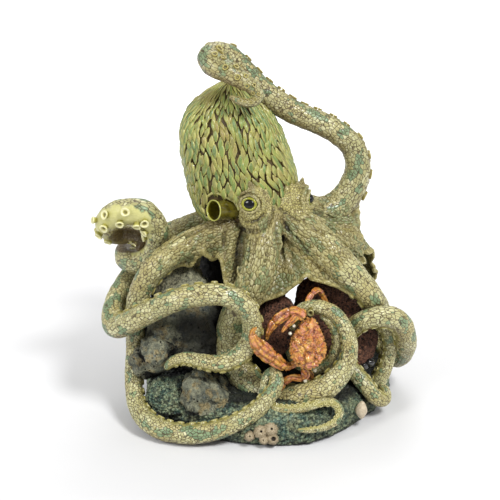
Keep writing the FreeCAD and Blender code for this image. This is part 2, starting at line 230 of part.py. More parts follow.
def tube(table, step=ARM_STEP, tip=True):
    """Solid of round sections along a centre line, with a rounded tip."""
    line = centre_line(table, step)
    T, N = frames(line)
    wires = [ring(p, t, n, r) for (p, r, _, _), t, n in zip(line, T, N)]
    if tip:
        p, r = line[-1][0], line[-1][1]
        for a in (35.0, 65.0):
            s, c = math.sin(math.radians(a)), math.cos(math.radians(a))
            wires.append(ring(p + T[-1] * (r * s), T[-1], N[-1], r * c))
    return Part.makeLoft(wires, True, True)


def ellipsoid(c, h):
    s = Part.makeSphere(1.0)
    m = FreeCAD.Matrix(h[0], 0, 0, c[0], 0, h[1], 0, c[1], 0, 0, h[2], c[2], 0, 0, 0, 1)
    return s.transformGeometry(m)


def polyhedron(points, faces):
    fs = []
    for f in faces:
        p = [points[i] for i in f]
        fs.append(Part.Face(Part.makePolygon(p + [p[0]])))
    shell = Part.makeShell(fs)
    solid = Part.makeSolid(shell)
    if solid.Volume < 0:
        solid.reverse()
    return solid


def blob(entry, lat=7, lon=18, bump=0.045, seed=1, floor=None):
    """Stone: an outline in the tilted plane, swelling to the front and the back."""
    (cx, cy, cz), front, back, off = entry
    rnd = random.Random(seed)
    e = math.radians(CAM_TILT)
    right, up, out = V(1, 0, 0), V(0, math.sin(e), math.cos(e)), V(0, -math.cos(e), math.sin(e))
    polar = sorted((math.atan2(b, a), math.hypot(a, b)) for a, b in off)
    polar = [(polar[-1][0] - 2 * math.pi, polar[-1][1])] + polar + [(polar[0][0] + 2 * math.pi, polar[0][1])]
    def rho(a):
        for (a0, r0), (a1, r1) in zip(polar, polar[1:]):
            if a0 <= a <= a1:
                return r0 + (r1 - r0) * (a - a0) / max(a1 - a0, 1e-9)
        return polar[0][1]
    c = V(cx, cy, cz)
    pts = [c + out * front]
    for i in range(1, lat):
        w = math.cos(math.pi * i / lat)                  # 1 at the front, -1 at the back
        s = math.sin(math.pi * i / lat) ** 0.72
        for k in range(lon):
            a = -math.pi + 2 * math.pi * (k + 0.5 * (i % 2)) / lon
            a = a if a <= math.pi else a - 2 * math.pi
            r = rho(a) * s * (1 + (rnd.random() - 0.5) * 2 * bump * abs(w) ** 0.5)
            d = (front if w > 0 else back) * (abs(w) ** 0.9) * (1 if w > 0 else -1)
            d *= 1 + (rnd.random() - 0.5) * 2 * bump
            pts.append(c + right * (math.cos(a) * r) + up * (math.sin(a) * r) + out * d)
    pts.append(c - out * back)
    if floor is not None:
        pts = [V(p.x, p.y, max(p.z, floor + 0.002 * (i % 7))) for i, p in enumerate(pts)]
    F = []
    for k in range(lon):
        F.append((0, 1 + k, 1 + (k + 1) % lon))
        o = 1 + (lat - 2) * lon
        F.append((len(pts) - 1, o + (k + 1) % lon, o + k))
    for i in range(1, lat - 1):
        a, b = 1 + (i - 1) * lon, 1 + i * lon
        for k in range(lon):
            k1 = (k + 1) % lon
            if i % 2:      # row i is shifted by half a step against row i + 1
                F += [(a + k, b + k, a + k1), (a + k1, b + k, b + k1)]
            else:
                F += [(a + k, b + k, b + k1), (a + k, b + k1, a + k1)]
    return polyhedron(pts, F)


def sheet(grid, t=WEB_T):
    """Sheet of skin: a grid of points made t thick."""
    G = [[V(*p) for p in row] for row in grid]
    nu, nv = len(G), len(G[0])
    def normal(i, j):
        a = G[min(nu - 1, i + 1)][j] - G[max(0, i - 1)][j]
        b = G[i][min(nv - 1, j + 1)] - G[i][max(0, j - 1)]
        n = a.cross(b)
        n.normalize()
        return n
    top = [[G[i][j] + normal(i, j) * (t / 2) for j in range(nv)] for i in range(nu)]
    bot = [[G[i][j] - normal(i, j) * (t / 2) for j in range(nv)] for i in range(nu)]
    P = [p for row in top for p in row] + [p for row in bot for p in row]
    o = nu * nv
    F = []
    for i in range(nu - 1):
        for j in range(nv - 1):
            a, b, c, d = i * nv + j, (i + 1) * nv + j, (i + 1) * nv + j + 1, i * nv + j + 1
            F += [(a, b, c), (a, c, d), (o + a, o + c, o + b), (o + a, o + d, o + c)]
    border = [i * nv for i in range(nu)] + [(nu - 1) * nv + j for j in range(1, nv)]
    border += [i * nv + nv - 1 for i in range(nu - 2, -1, -1)] + [j for j in range(nv - 2, 0, -1)]
    for a, b in zip(border, border[1:] + border[:1]):
        F += [(a, o + a, b), (b, o + a, o + b)]
    return polyhedron(P, F)


def cup(pos, axis, r, h):
    """One sucker: a low cone with a dished mouth."""
    prof = [V(0, 0, -1.2), V(r * 0.78, 0, -1.2), V(r, 0, h), V(r * 0.72, 0, h), V(r * 0.42, 0, h * 0.45), V(0, 0, h * 0.45)]
    f = Part.Face(Part.makePolygon(prof + [prof[0]]))
    s = f.revolve(V(0, 0, 0), V(0, 0, 1), 360)
    s.Placement = FreeCAD.Placement(V(*pos), FreeCAD.Rotation(V(0, 0, 1), V(*axis)))
    return s


def sucker_places(name):
    """Two staggered rows along the side that SUCKER_SIDE gives: [(pos, axis, radius)]."""
    line = centre_line(ARMS[name], 1.5)
    T, _ = frames(line)
    keys = SUCKER_SIDE[name]
    out, s, side = [], START.get(name, 60.0), 1
    total = line[-1][3]
    while s < total - 6.0:
        k = min(range(len(line)), key=lambda i: abs(line[i][3] - s))
        p, r, idx, _ = line[k]
        t = T[k]
        j = max(i for i in range(len(keys)) if keys[i][0] <= idx)
        a = keys[j]
        b = keys[min(j + 1, len(keys) - 1)]
        w = 0.0 if a is b else (idx - a[0]) / (b[0] - a[0])
        d = V(*a[1:]) * (1 - w) + V(*b[1:]) * w
        d = d - t * d.dot(t)
        if d.Length < 1e-3:
            d = V(0, 0, 1).cross(t)
        d.normalize()
        c = t.cross(d)
        ang = math.radians(24.0) * side
        ax = d * math.cos(ang) + c * math.sin(ang)
        rs = max(1.0, 0.36 * r)
        q = p + ax * (r * 0.97)
        if q.z > rs + 1.5:
            out.append((q, ax, rs))
        s += rs * SUCKER_PITCH
        side = -side
    return out


START = {"ring": 120.0, "front_left": 70.0, "arc": 70.0, "coil": 70.0, "top": 60.0,
         "front_right": 95.0, "loop_right": 95.0, "rear": 60.0}

os.makedirs("parts", exist_ok=True)
made = {}


def keep(name, shape):
    shape.exportStep("parts/%s.step" % name)
    made[name] = shape
    n = len(shape.Solids)
    print("%-22s solids %3d valid %s volume %.1f cm3" % (name, n, shape.isValid(), shape.Volume / 1000))


# ---------------------------------------------------------------- ground plate
def plan(scale, inset, z, jitter, seed):
    rnd = random.Random(seed)
    cx = sum(p[0] for p in BASE_PLAN) / len(BASE_PLAN)
    cy = sum(p[1] for p in BASE_PLAN) / len(BASE_PLAN)
    out = []
    for x, y in BASE_PLAN:
        d = math.hypot(x - cx, y - cy)
        k = scale - inset / d + (rnd.random() - 0.5) * jitter
        out.append(V(cx + (x - cx) * k, cy + (y - cy) * k, z))
    return out


def stacked(rings):
    """Solid through rings of equal point counts; the first and last are flat."""
    n = len(rings[0])
    P = [p for r in rings for p in r]
    F = [tuple(range(n - 1, -1, -1)), tuple((len(rings) - 1) * n + k for k in range(n))]
    for i in range(len(rings) - 1):
        a, b = i * n, (i + 1) * n
        for k in range(n):
            k1 = (k + 1) % n
            F += [(a + k, a + k1, b + k1), (a + k, b + k1, b + k)]
    return polyhedron(P, F)


H = BASE_HEIGHT
outer = stacked([plan(0.965, 0, 0.0, 0.0, 1), plan(1.0, 0, 7.0, 0.02, 2), plan(0.995, 0, 18.0, 0.025, 3),
                 plan(0.965, 0, 28.0, 0.03, 4), plan(0.90, 0, 36.0, 0.03, 5), plan(0.80, 0, H, 0.02, 6)])
inner = stacked([plan(0.965, BASE_WALL + 1, BASE_FLOOR, 0.0, 1), plan(0.97, BASE_WALL + 1, 18.0, 0.0, 1),
                 plan(0.80, BASE_WALL, H - 8.0, 0.0, 1)])
vent = Part.makeCylinder(VENT_R, BASE_FLOOR + 4.0, V(VENT_POS[0], VENT_POS[1], -2.0))
base = outer.cut(inner).cut(vent)
keep("base", base)

# ---------------------------------------------------------------- rocks
TOP = H - 3.0
FLOORS = {"grey_rock_tall": TOP, "grey_rock_pitted": TOP, "grey_rock_mid": None, "grey_rock_ledge": TOP - 3,
          "green_rock_left": 22.0, "grey_boulder_front": 27.0, "grey_rock_small": TOP - 2,
          "red_rock_left": TOP - 2, "red_rock_right": TOP - 2, "core_rock": TOP, "red_rock_rear": TOP - 4, "grey_rock_rear": TOP - 4}
for i, (name, entry) in enumerate(ROCKS.items()):
    big = name in ("grey_rock_tall", "core_rock", "red_rock_right")
    keep(name, blob(entry, lat=8 if big else 7, lon=20 if big else 18, seed=11 + i, floor=FLOORS[name]))

# ---------------------------------------------------------------- mantle, head, siphon
def oval(z, x, y, r, w=0.0):
    m = FreeCAD.Matrix(r - w, 0, 0, x, 0, (r - w) * MANTLE_DEPTH, 0, y, 0, 0, 1, z, 0, 0, 0, 1)
    return Part.Wire(Part.makeCircle(1.0).transformGeometry(m).Edges)


sack = Part.makeLoft([oval(*m) for m in MANTLE_RINGS], True, True)
hollow = Part.makeLoft([oval(MANTLE_RINGS[0][0] - 2.0, *MANTLE_RINGS[0][1:], w=MANTLE_WALL)] +
                       [oval(m[0] - (MANTLE_WALL if m[3] < 30 else 0.0), m[1], m[2], m[3], w=MANTLE_WALL)
                        for m in MANTLE_RINGS[1:-2]], True, True)
head = ellipsoid(*HEAD_BLOBS[0])
for b in HEAD_BLOBS[1:]:
    head = head.fuse(ellipsoid(*b))
mantle = sack.cut(hollow)
ax = unit(SIPHON_AXIS)
mouth = V(*SIPHON_MOUTH)
root = mouth - ax * SIPHON_LEN
rot = FreeCAD.Rotation(V(0, 0, 1), ax)
def cone(r1, r2, h, p):
    c = Part.makeCone(r1, r2, h)
    c.Placement = FreeCAD.Placement(p, rot)
    return c
siphon = cone(SIPHON_ROOT_R, SIPHON_R, SIPHON_LEN, root)
bore = cone(SIPHON_ROOT_R - SIPHON_WALL, SIPHON_R - SIPHON_WALL, SIPHON_LEN - 6.0, root + ax * 6.01)
clear = cone(SIPHON_ROOT_R + 0.1, SIPHON_R + 0.1, SIPHON_LEN + 4.0, root)
eyes = {}
for side, c, g in (("left", EYE_LEFT, GAZE_LEFT), ("right", EYE_RIGHT, GAZE_RIGHT)):
    eyes[side] = Part.makeSphere(EYE_R, V(*c))
head = head.cut(eyes["left"]).cut(eyes["right"]).cut(clear)
mantle = mantle.cut(head).cut(clear)
mantle = max(mantle.Solids, key=lambda s: s.Volume)
keep("mantle", mantle)
keep("head", max(head.Solids, key=lambda s: s.Volume))
keep("siphon", siphon.cut(bore))
keep("eye_left", eyes["left"])
keep("eye_right", eyes["right"])
rims = []
for c, g in ((EYE_LEFT, GAZE_LEFT), (EYE_RIGHT, GAZE_RIGHT)):
    g = unit(g)
    d = math.sqrt(max(EYE_R ** 2 - (RIM_R - RIM_T * 0.6) ** 2, 0.0)) + 0.9
    rims.append(Part.makeTorus(RIM_R, RIM_T, V(*c) + g * d, g))
keep("eye_rims", Part.makeCompound(rims))
horns = []
for p, d, l, r in HORNS:
    c = Part.makeCone(r, 0.5, l + 3.0)
    d = unit(d)
    c.Placement = FreeCAD.Placement(V(*p) - d * 3.0, FreeCAD.Rotation(V(0, 0, 1), d))
    horns.append(c)
keep("brow_horns", Part.makeCompound(horns))

# ---------------------------------------------------------------- arms and suckers
for name, table in ARMS.items():
    a = tube(table)
    try:
        b = a.cut(head)
        b = max(b.Solids, key=lambda s: s.Volume)
        if b.isValid() and b.Volume > 0.75 * a.Volume:
            a = b
    except Exception as err:
        print("kept whole:", name, err)
    keep("arm_" + name, a)
    keep("suckers_" + name, Part.makeCompound([cup(p, d, r, 0.5 * r) for p, d, r in sucker_places(name)]))

for name, grid in WEBS.items():
    keep(name, sheet(grid))

# ---------------------------------------------------------------- crab and small things
keep("crab_carapace", blob(CARAPACE, lat=8, lon=20, bump=0.05, seed=5))
for name, tubes in CRAB_TUBES.items():
    keep(name, Part.makeCompound([tube(t, step=3.0) for t in tubes]))
keep("crab_eyes", Part.makeCompound([Part.makeSphere(r, V(x, y, z)) for x, y, z, r in CRAB_EYES + CRAB_BEADS]))
barn = []
for x, y, z, r in BARNACLES:
    d = unit((0.02 * x / 10, -0.9, 0.35))
    prof = [V(0, 0, -6), V(r * 1.15, 0, -6), V(r, 0, 1.5), V(r * 0.72, 0, 3.4), V(r * 0.5, 0, 3.2), V(r * 0.3, 0, 0.2), V(0, 0, 0.0)]
    s = Part.Face(Part.makePolygon(prof + [prof[0]])).revolve(V(0, 0, 0), V(0, 0, 1), 360)
    s.Placement = FreeCAD.Placement(V(x, y, z), FreeCAD.Rotation(V(0, 0, 1), d))
    barn.append(s)
keep("barnacles", Part.makeCompound(barn))
keep("beige_pebble", ellipsoid(BEIGE_PEBBLE[0], BEIGE_PEBBLE[1]))
keep("dark_pebbles", Part.makeCompound([ellipsoid(*p) for p in DARK_PEBBLES]))

total = Part.makeCompound(list(made.values())).BoundBox
print("nodes", len(made), "box", [round(v, 1) for v in (total.XMin, total.YMin, total.ZMin, total.XMax, total.YMax, total.ZMax)])
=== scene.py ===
import bpy, json, math, random
import numpy as np
from mathutils import Vector, Matrix

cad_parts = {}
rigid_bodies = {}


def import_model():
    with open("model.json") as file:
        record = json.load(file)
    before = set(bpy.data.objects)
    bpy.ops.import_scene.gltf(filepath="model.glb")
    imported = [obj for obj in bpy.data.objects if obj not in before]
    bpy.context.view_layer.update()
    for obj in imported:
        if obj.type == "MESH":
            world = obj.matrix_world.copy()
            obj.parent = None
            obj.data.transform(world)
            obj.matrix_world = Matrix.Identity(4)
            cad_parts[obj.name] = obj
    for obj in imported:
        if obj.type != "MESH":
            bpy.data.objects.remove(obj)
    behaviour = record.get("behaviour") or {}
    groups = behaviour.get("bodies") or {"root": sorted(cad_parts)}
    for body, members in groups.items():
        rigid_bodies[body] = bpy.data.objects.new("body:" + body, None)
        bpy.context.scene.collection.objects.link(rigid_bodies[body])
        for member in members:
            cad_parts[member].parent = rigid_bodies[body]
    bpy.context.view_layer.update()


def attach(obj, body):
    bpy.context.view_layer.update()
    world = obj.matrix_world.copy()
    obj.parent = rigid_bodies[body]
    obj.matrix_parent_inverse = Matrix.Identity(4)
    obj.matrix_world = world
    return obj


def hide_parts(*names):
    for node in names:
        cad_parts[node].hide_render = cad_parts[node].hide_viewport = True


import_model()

# Octopus figurine in glazed ceramic. The tables are millimetres in the row's frame,
# every mesh is turned into metres when it is made.
MM = 0.001
TILT = math.radians(22.0)
RIGHT = np.array([1.0, 0.0, 0.0])
UP = np.array([0.0, math.sin(TILT), math.cos(TILT)])
OUT = np.array([0.0, -math.cos(TILT), math.sin(TILT)])

ARMS = {
    "ring": [(12, -30, 210.8, 15.4), (8.7, -50, 196.6, 16.2), (5.6, -64, 179.3, 16.7), (-2.5, -72, 156.4, 16.2), (-14.7, -70, 130, 15.8), (-25.1, -62, 100.3, 15.5), (-27.4, -60, 74, 15.6), (-16.9, -68, 51.2, 15.7), (3.9, -84, 36.2, 15.6), (28.5, -97, 32.7, 14.7), (50.7, -104, 41.1, 14.1), (68.9, -105, 50.3, 12.8), (84, -102, 64.2, 11), (93.5, -97, 80.4, 8.7), (94.4, -93, 97, 7.9), (89.1, -89, 112.5, 7.6), (79.5, -84, 124.1, 7.3), (66.5, -80, 129.5, 7.1), (52.5, -76, 127.6, 6.9), (41.6, -70, 117.6, 6.6), (34.9, -62, 99.1, 6.2), (34.2, -58, 74.1, 6.1), (43.7, -62, 57.5, 5.9), (58.1, -70, 52.8, 5.5), (72, -79, 63.8, 5.5), (80, -85, 79.5, 5.4), (82.6, -86, 95.9, 5.3), (79.4, -85, 107.8, 4.8), (73.6, -84, 115.9, 3.8), (66.1, -81, 119.6, 2.3)],
    "front_left": [(-10.6, -22, 203.4, 13.4), (-31.2, -30, 195.4, 14.4), (-56.8, -38, 187.5, 13.6), (-83, -50, 178.6, 12.9), (-104, -56, 161.7, 12.5), (-118.7, -54, 137.4, 11.6), (-124.9, -52, 111.6, 10.9), (-125.6, -52, 88.6, 10.7), (-126, -56, 67.3, 10.5), (-128.1, -64, 48, 9.6), (-126.9, -78, 33, 9.4), (-122.3, -94, 22.9, 9.9), (-112, -110, 16.6, 10.6), (-95, -122, 12.1, 10.8), (-69.2, -130, 11.9, 10.6), (-43.8, -132, 16.3, 10), (-19.6, -130, 25.6, 9.1), (0.6, -125, 37.1, 8.7), (13.7, -119, 50.4, 8.1), (20.8, -111, 62, 6.9), (17.4, -102, 67.6, 5.7), (11.8, -101, 63.6, 5.1), (8.2, -106, 53.7, 4.9), (8.7, -112, 43.7, 4.7), (16.7, -121, 38.3, 4.6), (29.8, -126, 38.2, 4.6), (47.9, -126, 39.9, 4.6), (66.1, -122, 43.4, 4.5), (78.4, -119, 41.2, 4.3), (84.2, -120, 32.6, 4.2), (80.4, -126, 24.4, 3.8), (68, -133, 20.9, 3.4), (53.8, -137, 20.4, 2.9), (42.7, -138, 20.9, 1.8)],
    "arc": [(-17, 0, 203, 12.6), (-43.7, 14, 192.1, 12.7), (-72.9, 20, 176.2, 12.3), (-100.4, 24, 156.1, 12.1), (-121.5, 24, 136.3, 11.7), (-136.3, 8, 124.2, 11.4), (-146.1, -18, 114.6, 11.5), (-149.5, -46, 106.5, 11.8), (-144.5, -68, 102.5, 11.9), (-127.2, -84, 115.7, 11.7), (-105.8, -94, 132, 11.5), (-80, -101, 147.2, 11.4), (-53.9, -106, 155.4, 11.3), (-31.1, -109, 156.2, 11.1), (-13.4, -108, 146, 10.9), (-5, -103, 126.2, 10.3), (-5.5, -101, 105.4, 10.1), (-15.6, -104, 88.9, 9.7), (-34.7, -108, 80.3, 9), (-55, -105, 81, 7.7), (-71.2, -103, 83.4, 6.5), (-83.5, -101, 79, 5.6), (-90.4, -99, 72.3, 4.1)],
    "coil": [(-6.5, 16, 197.1, 12.7), (-36.6, 32, 186.5, 12.9), (-65.3, 44, 171.6, 13.1), (-94.1, 48, 159.5, 13.1), (-115.9, 44, 151.7, 13.1), (-131.4, 32, 150.6, 13), (-138.5, 14, 150.9, 12.9), (-133.8, -4, 150.2, 13.3), (-120.1, -16, 152.9, 13.1), (-106.6, -24, 166.3, 12.8), (-101.9, -32, 186.3, 12.4), (-104.4, -40, 205.9, 12.5), (-113.9, -45, 218.6, 13.2), (-128, -45, 220.2, 13.7), (-142.8, -40, 215.1, 13.5), (-153.7, -28, 201.3, 12.9), (-152.1, -14, 187.6, 12.5), (-144.2, -6, 180.6, 12), (-133.1, -6, 181.1, 10.7), (-123.4, -10, 179.9, 8.6), (-119.6, -14, 174.7, 5.9), (-122.6, -18, 169.5, 3.3)],
    "top": [(45.8, -2, 208.2, 15.7), (69.5, 8, 200, 15.8), (89.9, 16, 207.2, 15.9), (103.3, 20, 227.1, 14.8), (107, 21, 247.9, 13.5), (101.2, 21, 267.6, 12.9), (88.2, 20, 281, 12.5), (72.3, 19, 291.6, 12.4), (54.5, 18, 299.4, 12.4), (36.8, 17, 307.7, 12.6), (19.2, 16, 319.7, 12.8), (1.7, 16, 333.4, 12.9), (-13.6, 16, 350.1, 12.8), (-27.8, 14, 364.1, 13), (-39.7, 6, 369.6, 13.1), (-45.9, -8, 368.5, 13), (-40.1, -20, 364.3, 12.1), (-27.2, -26, 359.3, 10.8), (-14.4, -29, 352.5, 9.1), (-3.5, -31, 344.9, 7.1), (1.9, -32, 337.1, 5.5), (-3, -34, 331.5, 4.8), (-11.9, -35, 331.3, 4.4), (-19.8, -35, 334.3, 3.7), (-24.7, -35, 336.4, 2.2)],
    "front_right": [(34.9, -20, 206, 15.5), (51, -34, 195.9, 16.9), (68.3, -44, 181.1, 17.4), (85.6, -51, 165.1, 16.4), (102.3, -54, 148.6, 14.8), (117.3, -54, 130.6, 13.2), (129.3, -44, 107.9, 11.7), (137.3, -40, 87.5, 9.5), (141.6, -37, 66.2, 8.5), (138.8, -40, 48.7, 8.5), (133.1, -44, 34.1, 8.7), (124.5, -50, 21.7, 8.1), (109.8, -62, 20.9, 7.6), (94.2, -72, 25.7, 6.9), (81.1, -80, 24.7, 5.2), (72.5, -86, 23.2, 3.1)],
    "loop_right": [(44.4, 14, 193.3, 14.9), (71.4, 34, 169.6, 15.2), (93.5, 46, 141.4, 15.4), (107.8, 50, 111.1, 15), (122.8, 44, 79.7, 14.5), (134.8, 30, 51.9, 14), (145.1, 14, 35, 13.3), (153.9, -6, 38.2, 12.7), (158.5, -27, 57.7, 12.1), (156.5, -46, 79.9, 11.8), (150.7, -58, 99.5, 11.6), (138.1, -69, 113.2, 11.3), (122.3, -73, 115.6, 10.6), (108.4, -70, 109.1, 10.1), (97, -63, 95, 9.5), (91, -60, 77.4, 9.2), (93.9, -62, 61, 9), (103.1, -69, 50, 8.8), (114.3, -77, 38.9, 8.5), (125.1, -78, 25.4, 8.1), (134.4, -70, 19.3, 7.2), (135.5, -67, 26.5, 5.9), (131.5, -63, 30.9, 3.6)],
    "rear": [(14, 34, 196, 14), (14, 64, 190, 14), (10, 90, 168, 13.5), (2.1, 104, 138, 13), (-8, 112, 106, 12.2), (-22, 118, 78, 11.2), (-44, 118, 58.1, 10), (-66, 106, 48.1, 8.8), (-78, 86, 46, 7.4), (-74, 68, 50, 6), (-62, 62, 56.1, 4.4)],
}
SUCKER_SIDE = {
    "ring": [(0, 0, 0.93, -0.37), (4, 0.49, 0.81, -0.33), (6, 0.96, 0.25, 0.11), (8, 0.6, 0.75, 0.27), (9, 0.36, 0.82, 0.44), (10, 0.09, 0.85, 0.51), (11, -0.21, 0.85, 0.49), (12, -0.54, 0.78, 0.33), (13, -0.75, 0.66, 0.03), (14, -0.8, 0.53, -0.28), (15, -0.7, 0.41, -0.59), (16, -0.48, 0.32, -0.82), (17, -0.21, 0.27, -0.94), (18, 0.08, 0.26, -0.96), (19, 0.35, 0.29, -0.89), (20, 0.62, 0.37, -0.69), (21, 0.92, 0.36, 0.13), (23, 0.06, 0.62, 0.78), (25, -0.79, 0.47, 0.39), (27, -0.84, 0.1, -0.53), (29, -0.29, -0.07, -0.95)],
    "front_left": [(0, 0, 0.78, -0.63), (3, 0.37, 0.48, -0.79), (5, 0.85, 0.44, -0.27), (9, 0.89, 0.41, -0.17), (12, 0.6, 0.71, 0.37), (14, 0, 0.72, 0.69), (17, -0.35, 0.62, 0.7), (19, -0.84, 0.54, 0.08), (21, 0, 0.45, -0.89), (23, 0.81, 0.47, 0.35), (24, 0.1, 0.18, 0.98), (26, -0.09, -0.08, 0.99), (27, -0.72, -0.69, -0.11), (29, -0.41, -0.07, 0.91), (32, -0.18, 0, 0.98)],
    "arc": [(0, 0, 0.78, -0.63), (3, 0.5, 0.46, -0.73), (6, 0.83, 0.48, -0.29), (8, 0.16, 0.91, 0.39), (10, -0.25, 0.77, 0.58), (13, 0.17, 0.79, 0.59), (15, 0.77, 0.63, -0.09), (17, 0.63, -0.02, -0.77), (19, 0.1, -0.37, -0.92), (22, 0.2, -0.46, -0.87)],
    "coil": [(0, 0, 0.72, -0.69), (4, 0.19, -0.54, -0.82), (7, 0.69, 0.05, 0.72), (8, -0.36, 0.58, 0.73), (9, -0.83, 0.47, 0.31), (10, -0.96, 0.27, -0.11), (11, -0.8, -0.18, -0.57), (12, -0.19, -0.83, -0.53), (13, 0, -0.99, -0.16), (14, -0.1, -0.99, 0.14), (15, -0.6, -0.74, 0.3), (16, -0.68, -0.52, -0.52), (17, -0.22, -0.37, -0.91), (21, -0.74, 0, -0.67)],
    "top": [(0, 0, 0.66, -0.75), (3, 0.94, 0.19, -0.28), (5, 0.93, 0.37, 0.05), (7, 0.58, 0.6, 0.56), (10, 0.42, 0.63, 0.65), (12, 0.62, 0.59, 0.52), (14, 0.28, 0.96, -0.09), (15, 0.8, -0.4, 0.45), (17, 0.3, -0.63, 0.72), (19, 0, -0.98, 0.19), (21, -0.86, -0.48, 0.19), (24, 0, -0.16, 0.99)],
    "front_right": [(0, -0.26, 0.64, -0.72), (3, -0.72, 0.21, -0.67), (6, -0.98, 0.02, -0.22), (8, -1, -0.09, 0.04), (10, -0.98, 0.08, 0.2), (12, -0.28, 0.18, 0.94), (15, 0, 0.19, 0.98)],
    "loop_right": [(0, 0, 0.72, -0.69), (4, -0.55, 0.77, -0.31), (7, -0.42, 0.61, 0.67), (9, -0.95, 0.3, -0.02), (11, -0.49, 0.07, -0.87), (13, 0.18, 0, -0.98), (15, 0.92, 0.31, -0.22), (17, 0.77, 0.48, 0.43), (20, 0.21, 0.55, 0.81), (22, -0.98, -0.07, 0.16)],
    "rear": [(0, 0, -1, -0.08), (5, 0, -0.93, 0.37), (8, 0, -0.78, 0.63), (10, 0, -0.66, 0.75)],
}
ROCKS = {
    "grey_rock_tall": ((-75.1, -36, 110), 34, 40, [(-36.6, 9.6), (-27.2, 27.6), (-18.6, 38.6), (-8, 44.8), (5.4, 44.3), (14.6, 38), (20.8, 31.8), (24.8, 22.3), (29.9, 7.5), (35.8, -24.8), (36.6, -53.2), (15.2, -64.2), (-16.9, -62), (-35.7, -48.8), (-40.1, -18.3)]),
    "grey_rock_pitted": ((-91.5, -66, 92.5), 17, 26, [(-17.2, 4.7), (-12.8, 14.2), (-3.4, 17.4), (8.8, 15.3), (16.9, 4.7), (19.7, -8), (12.2, -19.8), (-6.5, -18.7), (-17.7, -10.2)]),
    "grey_rock_mid": ((-101.7, -80, 83.1), 15, 22, [(-18.8, -0.4), (-15.5, 8.1), (-8.1, 13.8), (1.1, 13.8), (10.2, 11.2), (16.8, 6), (18.1, -1.4), (13.8, -9.9), (4.4, -15.3), (-7, -15.8), (-15, -10.5)]),
    "grey_rock_ledge": ((-113.7, -70, 61.9), 17, 26, [(-16.7, 9.3), (-12.8, 15.8), (-4.6, 14.7), (6.7, 9.3), (16.9, 2.9), (21.8, -5.7), (13.3, -13.3), (0.7, -15.5), (-9.7, -13.3), (-15.6, -4.6)]),
    "green_rock_left": ((-89, -84, 28.1), 20, 44, [(-25, 2.1), (-23.6, 12.9), (-19.7, 23.2), (-13.4, 24.8), (-6.3, 21), (6.1, 22.6), (20.5, 21.6), (32.7, 6.4), (34.5, -17.6), (23.7, -33.1), (4.8, -35.3), (-11.9, -33.1), (-22, -17.6)]),
    "grey_boulder_front": ((-54.2, -98, 37.6), 20, 26, [(-23, 8.9), (-21.3, 17.4), (-15.6, 24.3), (-5.8, 28), (3.8, 25.4), (9.9, 19), (16.9, 9.4), (24.1, 2.5), (27.6, -7.2), (26, -15.9), (17.7, -22.4), (4.2, -27.3), (-7.7, -26.8), (-14.9, -22.4), (-19.9, -12.6), (-21.7, -1.8)]),
    "grey_rock_small": ((-36.3, -76, 37.8), 14, 24, [(-10.7, 6.5), (-7.6, 11.9), (-1.3, 14.1), (5.9, 8.7), (10, 0), (10, -10.9), (2.6, -17.5), (-8.9, -13.1)]),
    "red_rock_left": ((20.5, -50, 105.5), 20, 34, [(-19.2, 12.2), (-17.1, 16.4), (-12, 19.6), (-2.2, 21.2), (7.2, 21.7), (13.9, 17.5), (19.7, 11.2), (23.1, -3.7), (18.1, -27.3), (3.6, -42.5), (-13.3, -35.9), (-21.8, -12.2)]),
    "red_rock_right": ((80, -28, 89.8), 30, 44, [(-37.5, 27.1), (-36.1, 38.8), (-30.9, 45.2), (-19.5, 48.3), (-2.7, 47.3), (14.2, 39.9), (29.4, 25), (40.6, 7.8), (49, -18.3), (46.9, -32.6), (38.3, -47.1), (21.7, -67.3), (-8.5, -69.5), (-29.4, -47.1), (-35.3, -15.1), (-38.3, 9.9)]),
    "core_rock": ((-13.7, 20, 93.5), 34, 42, [(-47, 34.7), (-43.5, 52), (-33.6, 69.2), (-14.2, 76.6), (15.7, 76.6), (35.1, 64.9), (42.9, 41.2), (45.3, 18.2), (43.3, -6.1), (49.1, -34.2), (54.2, -82.4), (41, -105.8), (-35.6, -105.8), (-53.3, -82.4), (-51.4, -34.2), (-47.5, -0.6)]),
    "red_rock_rear": ((76.6, 70, 47.4), 24, 26, [(-28.3, -1.8), (-26.3, 15.6), (-12.8, 24.9), (5.4, 23.7), (21.5, 14.5), (31.1, -1.8), (27.2, -21.8), (3.3, -31.2), (-21.1, -23)]),
    "grey_rock_rear": ((-22.4, 88, 51.3), 26, 24, [(-44.2, -6.1), (-37, 12.6), (-18.5, 25.4), (4.5, 30.1), (25.1, 23.1), (38.9, 9.1), (41.4, -9.7), (27.5, -26.3), (-2.7, -33.4), (-35.2, -26.3)]),
}
CARAPACE = ((52, -103, 99.5), 12, 11, [(-3.6, 26.9), (4.3, 27.9), (10.4, 21.8), (15.2, 11.5), (17.9, -0.9), (17.2, -11.3), (12.3, -19.6), (4.3, -25.4), (-4.8, -25.9), (-12, -21.2), (-17.1, -13.4), (-18.3, -1.9), (-15.4, 10.5), (-10.5, 19.7)])
BASE_PLAN = [(-116, -30), (-107, -70), (-92, -97), (-70, -114), (-44, -125), (-16, -133), (10, -137), (36, -137), (64, -127), (90, -108), (114, -80), (133, -52), (142, -28), (145, 2), (140, 34), (126, 65), (101, 93), (68, 113), (28, 122), (-18, 122), (-60, 110), (-92, 86), (-111, 50), (-119, 10)]
